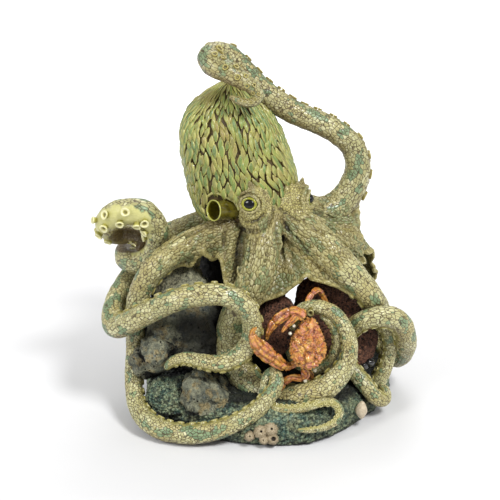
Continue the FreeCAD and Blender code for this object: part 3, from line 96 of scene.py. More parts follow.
CRAB_TUBES = {
    "crab_claw_upper": [[(47.5, -101, 127.5, 4.2), (41.4, -100, 133.1, 4.6), (33.5, -99, 133.2, 4.6), (25.5, -99, 128.2, 5), (18.6, -99, 122.2, 4.6), (13.1, -99, 114.4, 3.6), (10.6, -98, 106.1, 2.4), (10.1, -98, 100.6, 1)],
        [(40.3, -103, 131.7, 3.2), (34.9, -104, 125.6, 2.9), (29.9, -105, 120.6, 2.2), (25, -106, 113.9, 0.9)]],
    "crab_claw_lower": [[(41.2, -98, 76.9, 3.3), (35.1, -101, 74.4, 3.4), (28.9, -104, 75.4, 4.3), (22.7, -107, 80.3, 5.6), (15.6, -109, 87, 6.6), (8.5, -112, 94.6, 6.6), (2, -115, 103.3, 5.8), (-2.7, -117, 111.5, 4.2), (-4.5, -117, 117.5, 2.9), (-3, -117, 121.9, 1.9), (0.9, -117, 124.6, 0.8)],
        [(14.5, -112, 96.3, 3.4), (10.5, -114, 102.3, 2.8), (6.9, -115, 107.7, 1.8), (4.8, -115, 110.7, 0.8)]],
    "crab_legs": [[(48.4, -99, 70.6, 3.7), (51, -100, 64.3, 4), (46.5, -101, 60.2, 3.5), (35.2, -101, 60.8, 3.2), (27.7, -101, 54.5, 3.4), (21.6, -104, 45.7, 2.7), (16.9, -111, 39.2, 2), (14.3, -120, 32.6, 0.8)],
        [(53.9, -92, 63.6, 2.7), (56.1, -92, 54.4, 3.1), (52, -95, 47.9, 2.7), (45.7, -99, 46.5, 1.6), (40.5, -101, 48.7, 0.8)],
        [(45.8, -94, 122, 2.2), (51.2, -70, 130, 2.4), (57.5, -62, 137, 2.6), (63.8, -58, 139.2, 2.6), (68.1, -56, 132.7, 2.4), (73, -56, 121.4, 1.8), (76.2, -58, 112.1, 0.8)]],
}
CRAB_EYES = [(37.5, -104, 120.1, 1.8), (33.8, -105, 112.3, 1.9)]
CRAB_BEADS = [(59.7, -98, 67.2, 2), (49.9, -104, 58.4, 2)]
BARNACLES = [(-6.8, -137, 13.1, 4.4), (4.4, -137, 18.6, 4.7), (14.9, -137, 21.6, 4.7), (7.5, -138.5, 10.1, 4.3), (16.5, -138.5, 11.3, 4.6)]
WEBS = {
    "web_left": [[(-100.7, -50, 166.9), (-99.3, -50, 163.1), (-97.8, -50, 159.2), (-96.4, -50, 155.3), (-94.9, -50, 151.4)],
        [(-86.2, -50, 175.8), (-84.7, -50, 172.8), (-83.2, -50, 169.7), (-81.8, -50, 166.7), (-80.3, -50, 163.6)],
        [(-73, -46, 180.8), (-71.8, -46.5, 176), (-70.6, -47, 171.3), (-69.3, -47.5, 166.5), (-68.1, -48, 161.7)],
        [(-63.9, -42, 183.6), (-63.1, -44, 180.5), (-62.3, -46, 177.5), (-61.5, -48, 174.4), (-60.7, -50, 171.4)],
        [(-57.8, -40, 186.1), (-56.9, -43.5, 184.8), (-56, -47, 183.4), (-55.2, -50.5, 182.1), (-54.3, -54, 180.7)],
        [(-51.7, -38, 188.6), (-51.6, -41.5, 185.1), (-51.5, -45, 181.5), (-51.5, -48.5, 177.9), (-51.4, -52, 174.4)],
        [(-45.5, -36, 190.1), (-45.5, -38.5, 184.6), (-45.5, -41, 179.1), (-45.5, -43.5, 173.6), (-45.5, -46, 168.1)],
        [(-39.3, -36, 193.4), (-39.1, -39.5, 188.3), (-38.8, -43, 183.2), (-38.5, -46.5, 178.1), (-38.2, -50, 173)],
        [(-31.1, -38, 197.4), (-31.8, -42.5, 188.8), (-32.6, -47, 180.1), (-33.3, -51.5, 171.4), (-34.1, -56, 162.8)],
        [(-22.8, -40, 200.4), (-24.6, -45.5, 186.6), (-26.4, -51, 172.9), (-28.2, -56.5, 159.1), (-30, -62, 145.4)],
        [(-13.7, -36, 194.5), (-15.5, -43, 178.5), (-17.3, -50, 162.5), (-19.1, -57, 146.6), (-20.8, -64, 130.6)],
        [(-4.5, -46, 194), (-6.5, -51.5, 175.3), (-8.5, -57, 156.6), (-10.6, -62.5, 137.8), (-12.6, -68, 118.9)]],
    "web_left_rear": [[(-18.9, -20, 199.4), (-19, -8, 198.2), (-19.1, 4, 195.9), (-17.1, 14, 194.4)],
        [(-35.4, -28, 193.6), (-36.7, -14, 193.7), (-39.1, 0, 192.9), (-41.5, 14, 191)],
        [(-56.8, -38, 186.4), (-58.5, -20, 183.8), (-63.5, 0, 180.5), (-68.6, 20, 177.3)],
        [(-78.2, -46, 177.5), (-81.3, -26, 173.9), (-86.8, -2, 168.8), (-92.6, 22, 162.7)],
        [(-92.5, -50, 166.9), (-96.9, -30, 163.2), (-102.7, -6, 157.9), (-110, 20, 150.8)],
        [(-104, -52, 154.4), (-108.4, -34, 151.3), (-114.3, -12, 146.6), (-124.1, 16, 136.1)]],
    "web_centre": [[(5.7, -48, 201.3), (2.7, -54, 182.4), (-0.4, -60, 163.4), (-3.4, -66, 144.3), (-6.5, -72, 125.3)],
        [(13.9, -44, 197.6), (11.1, -51.2, 180.7), (8.3, -58.5, 163.9), (5.5, -65.8, 147), (2.7, -73, 130.2)],
        [(21.2, -36, 194.5), (18.6, -44.8, 179.3), (16, -53.5, 164.3), (13.4, -62.2, 149.2), (10.8, -71, 134.3)],
        [(26.4, -34, 191.5), (25.1, -42.2, 177.6), (23.7, -50.5, 163.8), (22.4, -58.8, 150.1), (21.1, -67, 136.4)],
        [(31.4, -40, 191.6), (30.9, -45.8, 178.3), (30.3, -51.5, 165.1), (29.8, -57.2, 151.8), (29.3, -63, 138.6)],
        [(36.5, -42, 190.2), (36.2, -47, 178.7), (35.9, -52, 167.2), (35.7, -57, 155.7), (35.4, -62, 144.3)],
        [(42.7, -42, 185.8), (42.6, -47, 176.8), (42.6, -52, 167.8), (42.5, -57, 158.8), (42.5, -62, 149.8)],
        [(49.8, -44, 182.2), (50.1, -48.8, 175.8), (50.4, -53.5, 169.5), (50.7, -58.2, 163.2), (51, -63, 156.9)],
        [(55.9, -46, 180.8), (56.6, -49.5, 173.5), (57.4, -53, 166.3), (58.1, -56.5, 159), (58.9, -60, 151.7)],
        [(65.1, -48, 176.1), (67.1, -51, 168.9), (69.2, -54, 161.7), (71.2, -57, 154.5), (73.3, -60, 147.3)],
        [(76.4, -50, 166.9), (79, -52.5, 160.8), (81.6, -55, 154.6), (84.1, -57.5, 148.4), (86.7, -60, 142.3)],
        [(87.8, -52, 156.7), (90.4, -54, 150.6), (93, -56, 144.4), (95.6, -58, 138.3), (98.2, -60, 132.2)]],
    "web_right": [[(60.5, -4, 202.2), (60.1, -12, 201.9), (58.7, -20, 200.5), (58.4, -28, 198), (59.1, -36, 195.6)],
        [(75.6, 4, 199.3), (75.1, -6, 197.4), (73.5, -18, 194.2), (73, -28, 190.2), (73.5, -40, 185)],
        [(88.6, 10, 199.3), (89.1, 0, 195.1), (88.5, -12, 189.6), (87.8, -26, 182.8), (88.9, -44, 173.3)],
        [(99.4, 14, 202.3), (101, 4, 194.8), (102.5, -8, 185.8), (102.7, -24, 174.2), (103.5, -46, 160.8)],
        [(108.1, 17, 203.5), (107.9, 10, 191.4), (109.4, -2, 180.1), (110.9, -14, 169), (108.8, -32, 158.4)]],
    "web_rear_right": [[(78.2, 12, 198.5), (78.8, 20, 191), (79.5, 28, 181.1), (82.4, 36, 168.8)],
        [(92.2, 16, 197.1), (94.2, 24, 185), (96.3, 34, 169.6), (99.6, 44, 152.8)],
        [(102, 18, 194), (107.2, 24, 178.1), (111.6, 32, 161.1), (112.3, 46, 136.7)],
        [(107.6, 14, 175.1), (114.8, 18, 162), (120.5, 28, 144), (120.7, 46, 115.2)],
        [(113.1, 8, 156.8), (125.5, 14, 153.2), (128.1, 20, 139.1), (127.7, 36, 111)]],
    "web_rear_left": [[(-17.2, 20, 193.3), (-13, 36, 187.3), (-4.3, 48, 182.9), (6.7, 58, 176.8)],
        [(-36.6, 30, 182.7), (-30.5, 48, 171.2), (-17.6, 64, 160.4), (0.2, 76, 151)],
        [(-56.4, 38, 172.7), (-48.4, 58, 153.2), (-31.2, 78, 133.3), (-4.2, 94, 117.1)],
        [(-76.2, 42, 164.2), (-68.9, 66, 133.3), (-47.5, 90, 106.4), (-4.2, 102, 94)],
        [(-94, 44, 154), (-85, 68, 118), (-59.3, 94, 87.4), (-6.5, 106, 72.1)]],
    "web_rear": [[(15.4, 54, 178.3), (30.5, 46, 181.3), (45.1, 32, 186.5), (57.6, 22, 188)],
        [(18, 74, 151.8), (37.7, 62, 158.8), (59, 46, 165), (78.1, 36, 166.5)],
        [(20.8, 92, 120.4), (45.2, 78, 130.9), (71, 58, 139), (97, 48, 138.2)],
        [(18.8, 100, 97.3), (50.4, 88, 109.7), (83.2, 68, 118), (104.6, 54, 119)]],
}
BEIGE_PEBBLE = ((108.5, -97.0, 21.0), (6.2, 5.4, 9.6))
DARK_PEBBLES = [((113.3, -58.0, 51.9), (5.0, 4.5, 4.6)), ((119.5, -56.0, 55.0), (5.2, 4.5, 4.8))]

MANTLE_RINGS = [
    (198.0, -8.5, 8.0, 47.0), (206.0, -10.5, 9.0, 51.0), (220.0, -12.5, 10.0, 54.3),
    (234.0, -13.8, 11.0, 55.8), (246.0, -16.4, 11.0, 56.0), (259.0, -20.0, 11.0, 54.8),
    (271.0, -23.4, 11.0, 53.4), (284.0, -26.0, 11.0, 51.4), (295.0, -27.8, 11.0, 48.2),
    (307.0, -28.8, 11.0, 42.5), (317.5, -28.6, 11.0, 34.5), (326.0, -28.2, 11.0, 26.0),
    (333.0, -27.8, 11.0, 17.5), (337.5, -27.6, 11.0, 10.0), (339.5, -27.5, 11.0, 4.5)]
MANTLE_DEPTH = 0.94
EYES = {"left": ((-6.6, -48.6, 229.6), (-0.22, -0.93, 0.28)), "right": ((51.6, -21.5, 225.2), (0.972, -0.19, 0.13))}
SIPHON_MOUTH = (-43.4, -48.5, 222.6)
SIPHON_AXIS = (-0.745, -0.640, 0.19)
# how pale the side with the suckers is
TONE = {"ring": 0.25, "front_left": 0.35, "arc": 0.3, "coil": 1.0, "top": 0.0, "front_right": 0.4, "loop_right": 0.4, "rear": 0.3}
START = {"ring": 120.0, "front_left": 70.0, "arc": 70.0, "coil": 70.0, "top": 60.0,
         "front_right": 95.0, "loop_right": 95.0, "rear": 60.0}
# how far along its table each arm is still part of the body's skin
ROOT_END = {"ring": 3.6, "front_left": 3.6, "arc": 3.2, "coil": 2.6, "top": 2.0,
            "front_right": 3.0, "loop_right": 2.8, "rear": 3.0}


# ------------------------------------------------------------------ small helpers
def unit(v):
    v = np.asarray(v, float)
    return v / max(np.linalg.norm(v), 1e-12)


def srgb(r, g, b):
    def f(c):
        c = c / 255.0
        return c / 12.92 if c <= 0.04045 else ((c + 0.055) / 1.055) ** 2.4
    return (f(r), f(g), f(b), 1.0)


def smoothstep(x, a, b):
    t = np.clip((np.asarray(x, float) - a) / (b - a), 0.0, 1.0)
    return t * t * (3 - 2 * t)


def spline(table, step=0.5):
    """Centripetal Catmull-Rom through the rows, evenly spaced: rows, distance along, position in the table."""
    P = np.asarray(table, float)
    ext = np.vstack([2 * P[0] - P[1], P, 2 * P[-1] - P[-2]])
    out, idx = [], []
    for i in range(len(P) - 1):
        p0, p1, p2, p3 = ext[i:i + 4]
        d = [max(np.linalg.norm(b[:3] - a[:3]), 1e-6) ** 0.5 for a, b in ((p0, p1), (p1, p2), (p2, p3))]
        t0, t1 = 0.0, d[0]
        t2 = t1 + d[1]
        t3 = t2 + d[2]
        m = max(4, int(np.linalg.norm(p2[:3] - p1[:3]) / 0.5))
        t = np.linspace(t1, t2, m, endpoint=False)[:, None]
        a1 = (t1 - t) / (t1 - t0) * p0 + (t - t0) / (t1 - t0) * p1
        a2 = (t2 - t) / (t2 - t1) * p1 + (t - t1) / (t2 - t1) * p2
        a3 = (t3 - t) / (t3 - t2) * p2 + (t - t2) / (t3 - t2) * p3
        b1 = (t2 - t) / (t2 - t0) * a1 + (t - t0) / (t2 - t0) * a2
        b2 = (t3 - t) / (t3 - t1) * a2 + (t - t1) / (t3 - t1) * a3
        out.append((t2 - t) / (t2 - t1) * b1 + (t - t1) / (t2 - t1) * b2)
        idx.append(i + (t[:, 0] - t1) / (t2 - t1))
    Q = np.vstack(out + [P[-1:]])
    idx = np.concatenate(idx + [np.array([len(P) - 1.0])])
    s = np.concatenate([[0], np.cumsum(np.linalg.norm(np.diff(Q[:, :3], axis=0), axis=1))])
    n = max(4, int(round(s[-1] / step)) + 1)
    t = np.linspace(0, s[-1], n)
    return np.stack([np.interp(t, s, Q[:, j]) for j in range(Q.shape[1])], 1), t, np.interp(t, s, idx)


def transport(C):
    """Tangents and parallel-transported sides of a line of points."""
    T = np.gradient(C, axis=0)
    T /= np.maximum(np.linalg.norm(T, axis=1), 1e-9)[:, None]
    n = np.cross(T[0], (0, 0, 1.0))
    if np.linalg.norm(n) < 0.1:
        n = np.cross(T[0], (1.0, 0, 0))
    n = unit(n)
    N = np.zeros_like(C)
    N[0] = n
    for i in range(1, len(C)):
        n = n - T[i] * (n @ T[i])
        n = n / np.linalg.norm(n)
        N[i] = n
    return T, N, np.cross(T, N)


def make(name, verts, faces, attrs=(), corner=(), node=None, replaces=(), material=None, stage=False):
    """A mesh object from arrays in millimetres. faces: list of arrays, each of one corner count."""
    faces = faces if isinstance(faces, list) else [faces]
    me = bpy.data.meshes.new(name)
    v = np.asarray(verts, np.float64) * MM
    me.vertices.add(len(v))
    me.vertices.foreach_set("co", v.astype(np.float32).ravel())
    loops = np.concatenate([np.asarray(f, np.int32).ravel() for f in faces])
    starts, o = [], 0
    for f in faces:
        k = np.asarray(f).shape[1]
        starts.append(o + np.arange(len(f), dtype=np.int32) * k)
        o += len(f) * k
    starts = np.concatenate(starts).astype(np.int32)
    me.loops.add(len(loops))
    me.loops.foreach_set("vertex_index", loops)
    me.polygons.add(len(starts))
    me.polygons.foreach_set("loop_start", starts)
    me.polygons.foreach_set("use_smooth", np.ones(len(starts), bool))
    me.update(calc_edges=True)
    for key, data in dict(attrs).items():
        data = np.asarray(data, np.float32)
        a = me.attributes.new(key, "FLOAT_VECTOR" if data.ndim == 2 else "FLOAT", "POINT")
        a.data.foreach_set("vector" if data.ndim == 2 else "value", data.ravel())
    for key, data in dict(corner).items():
        a = me.attributes.new(key, "FLOAT_VECTOR", "CORNER")
        a.data.foreach_set("vector", np.asarray(data, np.float32).ravel())
    ob = bpy.data.objects.new(name, me)
    bpy.context.scene.collection.objects.link(ob)
    if material is not None:
        me.materials.append(material)
    if stage:
        return ob
    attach(ob, "root")
    if replaces:
        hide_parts(*replaces)
    return ob


def grid_faces(n, m, wrap=True, flip=False):
    """Quads of an n x m grid of points (rows x columns), the columns closed when wrap."""
    i = np.arange(n - 1)[:, None]
    j = np.arange(m if wrap else m - 1)[None, :]
    a = i * m + j
    b = i * m + (j + 1) % m
    q = np.stack([a, b, b + m, a + m], -1).reshape(-1, 4)
    return q[:, ::-1] if flip else q


def join(parts):
    """Joins (verts, [faces], attrs) groups into one."""
    V, A, o = [], {}, 0
    F = {}
    for v, fs, at in parts:
        V.append(np.asarray(v, float))
        for f in fs:
            f = np.asarray(f)
            F.setdefault(f.shape[1], []).append(f + o)
        for k, d in at.items():
            A.setdefault(k, []).append(np.asarray(d, float))
        o += len(v)
    return np.vstack(V), [np.vstack(x) for x in F.values()], {k: np.concatenate(x) for k, x in A.items()}


# ------------------------------------------------------------------ node writing
class Nodes:
    """Writes the same texture maths into a shader tree or into a geometry tree."""

    def __init__(self, tree):
        self.t = tree
        self.geo = tree.bl_idname == "GeometryNodeTree"

    def new(self, kind, **props):
        n = self.t.nodes.new(kind)
        for k, v in props.items():
            setattr(n, k, v)
        return n

    def put(self, socket, value):
        if isinstance(value, bpy.types.NodeSocket):
            self.t.links.new(value, socket)
        elif value is not None:
            socket.default_value = value

    def attr(self, name, vector=True):
        if self.geo:
            n = self.new("GeometryNodeInputNamedAttribute", data_type="FLOAT_VECTOR" if vector else "FLOAT")
            n.inputs["Name"].default_value = name
            return next(o for o in n.outputs if o.enabled and o.name == "Attribute")
        n = self.new("ShaderNodeAttribute", attribute_name=name)
        return n.outputs["Vector" if vector else "Fac"]

    def math(self, op, a, b=None, c=None, clamp=False):
        n = self.new("ShaderNodeMath", operation=op, use_clamp=clamp)
        for k, x in enumerate((a, b, c)):
            self.put(n.inputs[k], x)
        return n.outputs[0]

    def vmath(self, op, a, b=None, scale=None):
        n = self.new("ShaderNodeVectorMath", operation=op)
        self.put(n.inputs[0], a)
        self.put(n.inputs[1], b)
        if scale is not None:
            self.put(n.inputs["Scale"], scale)
        return n.outputs["Value"] if op in ("LENGTH", "DOT_PRODUCT", "DISTANCE") else n.outputs["Vector"]

    def noise(self, vec, scale, detail=3.0, rough=0.5, distortion=0.0, colour=False):
        n = self.new("ShaderNodeTexNoise")
        self.put(n.inputs["Vector"], vec)
        n.inputs["Scale"].default_value = scale
        n.inputs["Detail"].default_value = detail
        n.inputs["Roughness"].default_value = rough
        n.inputs["Distortion"].default_value = distortion
        return n.outputs[1 if colour else 0]

    def voronoi(self, vec, scale=1.0, feature="F1", rnd=1.0):
        n = self.new("ShaderNodeTexVoronoi", feature=feature)
        self.put(n.inputs["Vector"], vec)
        n.inputs["Scale"].default_value = scale
        n.inputs["Randomness"].default_value = rnd
        return n

    def range(self, x, a, b, c=0.0, d=1.0, smooth=True):
        n = self.new("ShaderNodeMapRange", interpolation_type="SMOOTHSTEP" if smooth else "LINEAR")
        for key, v in (("Value", x), ("From Min", a), ("From Max", b), ("To Min", c), ("To Max", d)):
            self.put(n.inputs[key], v)
        return n.outputs["Result"]

    def pick(self, sockets, ident):
        return next(s for s in sockets if s.identifier == ident)

    def mix(self, f, a, b):
        n = self.new("ShaderNodeMix", data_type="FLOAT")
        self.put(self.pick(n.inputs, "Factor_Float"), f)
        self.put(self.pick(n.inputs, "A_Float"), a)
        self.put(self.pick(n.inputs, "B_Float"), b)
        return self.pick(n.outputs, "Result_Float")

    def mixc(self, f, a, b, blend="MIX"):
        n = self.new("ShaderNodeMix", data_type="RGBA", blend_type=blend)
        self.put(self.pick(n.inputs, "Factor_Float"), f)
        self.put(self.pick(n.inputs, "A_Color"), a)
        self.put(self.pick(n.inputs, "B_Color"), b)
        return self.pick(n.outputs, "Result_Color")

    def ramp(self, f, stops):
        n = self.new("ShaderNodeValToRGB")
        e = n.color_ramp.elements
        while len(e) < len(stops):
            e.new(0.5)
        for el, (p, c) in zip(e, stops):
            el.position = p
            el.color = c
        self.put(n.inputs["Fac"], f)
        return n.outputs["Color"]


def displace(ob, field):
    """Moves every point along its normal by the field, in metres, for good."""
    ng = bpy.data.node_groups.new("relief", "GeometryNodeTree")
    ng.interface.new_socket("Geometry", in_out="INPUT", socket_type="NodeSocketGeometry")
    ng.interface.new_socket("Geometry", in_out="OUTPUT", socket_type="NodeSocketGeometry")
    g = Nodes(ng)
    gi, go = g.new("NodeGroupInput"), g.new("NodeGroupOutput")
    sp, nm = g.new("GeometryNodeSetPosition"), g.new("GeometryNodeInputNormal")
    off = g.vmath("SCALE", nm.outputs["Normal"], scale=field(g))
    ng.links.new(gi.outputs[0], sp.inputs["Geometry"])
    ng.links.new(off, sp.inputs["Offset"])
    ng.links.new(sp.outputs["Geometry"], go.inputs[0])
    mod = ob.modifiers.new("relief", "NODES")
    mod.node_group = ng
    dg = bpy.context.evaluated_depsgraph_get()
    me = bpy.data.meshes.new_from_object(ob.evaluated_get(dg), preserve_all_data_layers=True, depsgraph=dg)
    old = ob.data
    ob.modifiers.clear()
    me.name = old.name
    ob.data = me
    bpy.data.meshes.remove(old)
    return ob


def material(name, build, roughness=0.45, coat=0.0, spec=0.5, coat_rough=0.15, transmission=0.0, sss=0.0):
    """build(nodes) gives (colour, roughness or None, bump height in metres or None)."""
    m = bpy.data.materials.new(name)
    m.use_nodes = True
    t = m.node_tree
    t.nodes.clear()
    g = Nodes(t)
    out = g.new("ShaderNodeOutputMaterial")
    p = g.new("ShaderNodeBsdfPrincipled")
    p.inputs["Roughness"].default_value = roughness
    p.inputs["Specular IOR Level"].default_value = spec
    p.inputs["Coat Weight"].default_value = coat
    p.inputs["Coat Roughness"].default_value = coat_rough
    colour, rough, height = build(g)
    g.put(p.inputs["Base Color"], colour)
    g.put(p.inputs["Roughness"], rough)
    if height is not None:
        b = g.new("ShaderNodeBump")
        b.inputs["Strength"].default_value = 1.0
        b.inputs["Distance"].default_value = 1.0
        g.put(b.inputs["Height"], height)
        t.links.new(b.outputs["Normal"], p.inputs["Normal"])
    t.links.new(p.outputs["BSDF"], out.inputs["Surface"])
    return m


# ------------------------------------------------------------------ skin of the arms and the body
def cell_relief(g, rest, size):
    """Pillowed cells: height in metres from cell coordinates and the cell size in millimetres."""
    e = g.voronoi(rest, 1.0, "DISTANCE_TO_EDGE", 0.85).outputs["Distance"]
    h = g.range(e, 0.0, 0.17, -0.6, 0.4)
    return g.math("MULTIPLY", g.math("MULTIPLY", h, size), 0.00015)


def skin_colour(g, rest, green_at=0.55, lip=None, face=None, pos=None):
    """Cream and tan cells, small groups of them green, thin dark grooves."""
    edge = g.voronoi(rest, 1.0, "DISTANCE_TO_EDGE", 0.85).outputs["Distance"]
    cell = g.voronoi(rest, 1.0, "F1", 0.85)
    tone = g.new("ShaderNodeSeparateXYZ")
    g.put(tone.inputs[0], cell.outputs["Color"])
    base = g.ramp(tone.outputs[0], [(0.0, srgb(172, 165, 112)), (0.35, srgb(188, 183, 130)), (0.7, srgb(202, 198, 146)),
                                    (1.0, srgb(220, 217, 172))])
    warm = g.noise(rest, 0.09, 2.0, 0.5)
    base = g.mixc(g.range(warm, 0.48, 0.66, 0.0, 0.55), base, srgb(176, 160, 96))
    base = g.mixc(g.range(warm, 0.46, 0.34, 0.0, 0.40), base, srgb(160, 162, 112))
    group = g.noise(cell.outputs["Position"], 0.27, 1.0, 0.35)
    soft = g.math("ADD", g.math("MULTIPLY", group, 0.85), g.math("MULTIPLY", g.noise(rest, 0.27, 2.0, 0.5), 0.15))
    green = g.range(soft, green_at, green_at + 0.035, 0.0, 0.92)
    gcol = g.ramp(tone.outputs[1], [(0.0, srgb(96, 128, 94)), (0.5, srgb(116, 146, 108)), (1.0, srgb(144, 166, 124))])
    col = g.mixc(green, base, gcol)
    mottled = g.noise(rest, 2.6, 4.0, 0.65)
    col = g.mixc(g.range(mottled, 0.42, 0.70, 0.0, 0.32), col, srgb(136, 122, 68))
    groove = g.range(edge, 0.03, 0.10, 0.90, 0.0)
    col = g.mixc(groove, col, srgb(70, 54, 24))
    if face is not None:
        fv = g.voronoi(pos, 0.40, "F1", 0.9)
        ftone = g.new("ShaderNodeSeparateXYZ")
        g.put(ftone.inputs[0], fv.outputs["Color"])
        fcol = g.ramp(ftone.outputs[0], [(0.0, srgb(172, 162, 94)), (0.5, srgb(194, 185, 114)), (1.0, srgb(218, 210, 146))])
        fcol = g.mixc(g.range(g.noise(pos, 0.09, 2.0, 0.5), 0.48, 0.66, 0.0, 0.45), fcol, srgb(150, 142, 84))
        fedge = g.voronoi(pos, 0.40, "DISTANCE_TO_EDGE", 0.9).outputs["Distance"]
        fcol = g.mixc(g.range(fedge, 0.03, 0.15, 0.80, 0.0), fcol, srgb(86, 68, 34))
        col = g.mixc(face, col, fcol)
    if lip is not None:
        col = g.mixc(lip, col, srgb(186, 176, 112))
    return col, edge


def stain_and_painted_shade(g, col, dark=None, strength=0.96, soft=0.62, shift=0.0):
    """Dark stain in the hollows and painted shade: the more enclosed a place is, the darker it is painted."""
    o = g.math("ADD", g.attr("occ", False), shift)
    n = g.noise(g.attr("place"), 0.25, 3.0, 0.6)
    o = g.math("ADD", o, g.math("MULTIPLY", g.math("SUBTRACT", n, 0.5), 0.22))
    col = g.mixc(g.range(o, 0.22, 0.66, 0.0, soft), col, g.mixc(0.5, col, dark or srgb(40, 30, 12)))
    return g.mixc(g.range(o, 0.46, 0.86, 0.0, strength), col, dark or srgb(30, 24, 12))


def arm_shader(g):
    rest = g.attr("rest")
    col, edge = skin_colour(g, rest, 0.575)
    under, tone = g.attr("under", False), g.attr("utone", False)
    m = g.noise(g.attr("place"), 0.6, 3.0, 0.6)
    belly = g.mixc(tone, g.mixc(m, srgb(92, 82, 34), srgb(140, 128, 62)), g.mixc(m, srgb(186, 182, 104), srgb(218, 214, 152)))
    belly = g.mixc(g.range(g.noise(g.attr("place"), 1.6, 3.0, 0.6), 0.5, 0.7, 0.0, 0.35), belly, srgb(120, 112, 46))
    col = g.mixc(under, col, belly)
    # painted shade: browner on the downward side and inside the coil's hollow, then stain and painted shade in the
    # hollows
    col = g.mixc(g.attr("painted_shade", False), col, srgb(84, 62, 28))
    col = stain_and_painted_shade(g, col, srgb(50, 36, 14), 0.58, 0.20)
    rough = g.range(edge, 0.0, 0.2, 0.60, 0.32)
    h = g.math("MULTIPLY", g.range(edge, 0.0, 0.14), g.mix(under, 0.00028, 0.0))
    h = g.math("ADD", h, g.math("MULTIPLY", g.noise(rest, 4.0, 3.0, 0.6), 0.00016))
    return col, rough, h


def body_shader(g):
    rest, pos = g.attr("rest_c"), g.attr("place")
    face = g.attr("face", False)
    col, edge = skin_colour(g, rest, 0.53, g.attr("lip", False), face, pos)
    col = g.mixc(g.mix(face, 0.40, 0.05), col, srgb(112, 98, 12))
    plain = g.ramp(g.noise(pos, 0.14, 3.0, 0.55), [(0.36, srgb(112, 98, 54)), (0.5, srgb(140, 128, 76)), (0.62, srgb(112, 122, 82))])
    plain = g.mixc(g.range(g.noise(pos, 1.3, 4.0, 0.65), 0.45, 0.7, 0.0, 0.5), plain, srgb(96, 80, 42))
    bare = g.attr("bare", False)
    col = g.mixc(g.math("MULTIPLY", bare, 0.9), col, plain)
    # crests painted paler, partly rubbed glaze and partly painted highlight; then painted shade under the mantle, in
    # the creases and in the hollows
    col = g.mixc(g.math("MULTIPLY", g.attr("crest", False), 0.55), col, srgb(204, 194, 140))
    col = g.mixc(g.attr("brown_painted_shade", False), col, srgb(92, 74, 34))
    col = g.mixc(g.attr("painted_crease_shade", False), col, srgb(56, 40, 16))
    col = g.mixc(g.attr("painted_shade", False), col, srgb(36, 27, 12))
    col = stain_and_painted_shade(g, col, None, 0.9, 0.55)
    rough = g.range(edge, 0.0, 0.2, 0.62, 0.38)
    h = g.math("MULTIPLY", g.range(edge, 0.0, 0.2), g.mix(bare, 0.00055, 0.00005))
    fe = g.voronoi(pos, 0.40, "DISTANCE_TO_EDGE", 0.9).outputs["Distance"]
    h = g.mix(face, h, g.math("MULTIPLY", g.range(fe, 0.0, 0.25), 0.00045))
    h = g.math("ADD", h, g.math("MULTIPLY", g.noise(pos, 1.4, 3.0, 0.6), 0.00018))
    return col, rough, h


ARM_SKIN = material("arm_skin", arm_shader, coat=0.26, coat_rough=0.16)
BODY_SKIN = material("body_skin", body_shader, coat=0.24, coat_rough=0.18)


def sucker_places(name):
    C, s, idx = spline(ARMS[name], 1.5)
    T, _, _ = transport(C[:, :3])
    keys = SUCKER_SIDE[name]
    out, d0, side = [], START.get(name, 60.0), 1
    while d0 < s[-1] - 6.0:
        k = int(np.argmin(abs(s - d0)))
        p, r, t = C[k, :3], C[k, 3], T[k]
        j = max(i for i in range(len(keys)) if keys[i][0] <= idx[k])
        a, b = keys[j], keys[min(j + 1, len(keys) - 1)]
        w = 0.0 if a is b else (idx[k] - a[0]) / (b[0] - a[0])
        d = np.array(a[1:]) * (1 - w) + np.array(b[1:]) * w
        d = d - t * (d @ t)
        if np.linalg.norm(d) < 1e-3:
            d = np.cross((0, 0, 1.0), t)
        d = unit(d)
        c = np.cross(t, d)
        ang = math.radians(24.0) * side
        ax = d * math.cos(ang) + c * math.sin(ang)
        rs = max(1.0, (0.44 if name == "front_left" and idx[k] > 26 else 0.36) * r)
        q = p + ax * (r * 0.95)
        if q[2] > rs + 1.5:
            out.append((q, ax, rs))
        d0 += rs * 1.75
        side = -side
    return out


def side_dir(name, idx, T):
    """The direction of the suckers along an arm, square to its line."""
    keys = SUCKER_SIDE[name]
    ki = np.array([k[0] for k in keys], float)
    kd = np.array([k[1:] for k in keys], float)
    D = np.stack([np.interp(idx, ki, kd[:, j]) for j in range(3)], 1)
    D -= T * (D * T).sum(1)[:, None]
    n = np.linalg.norm(D, axis=1)
    D[n < 1e-3] = np.cross((0, 0, 1.0), T[n < 1e-3])
    return D / np.linalg.norm(D, axis=1)[:, None]


def cell_size(r):
    return np.clip(0.20 * r + 1.05, 1.7, 3.2)


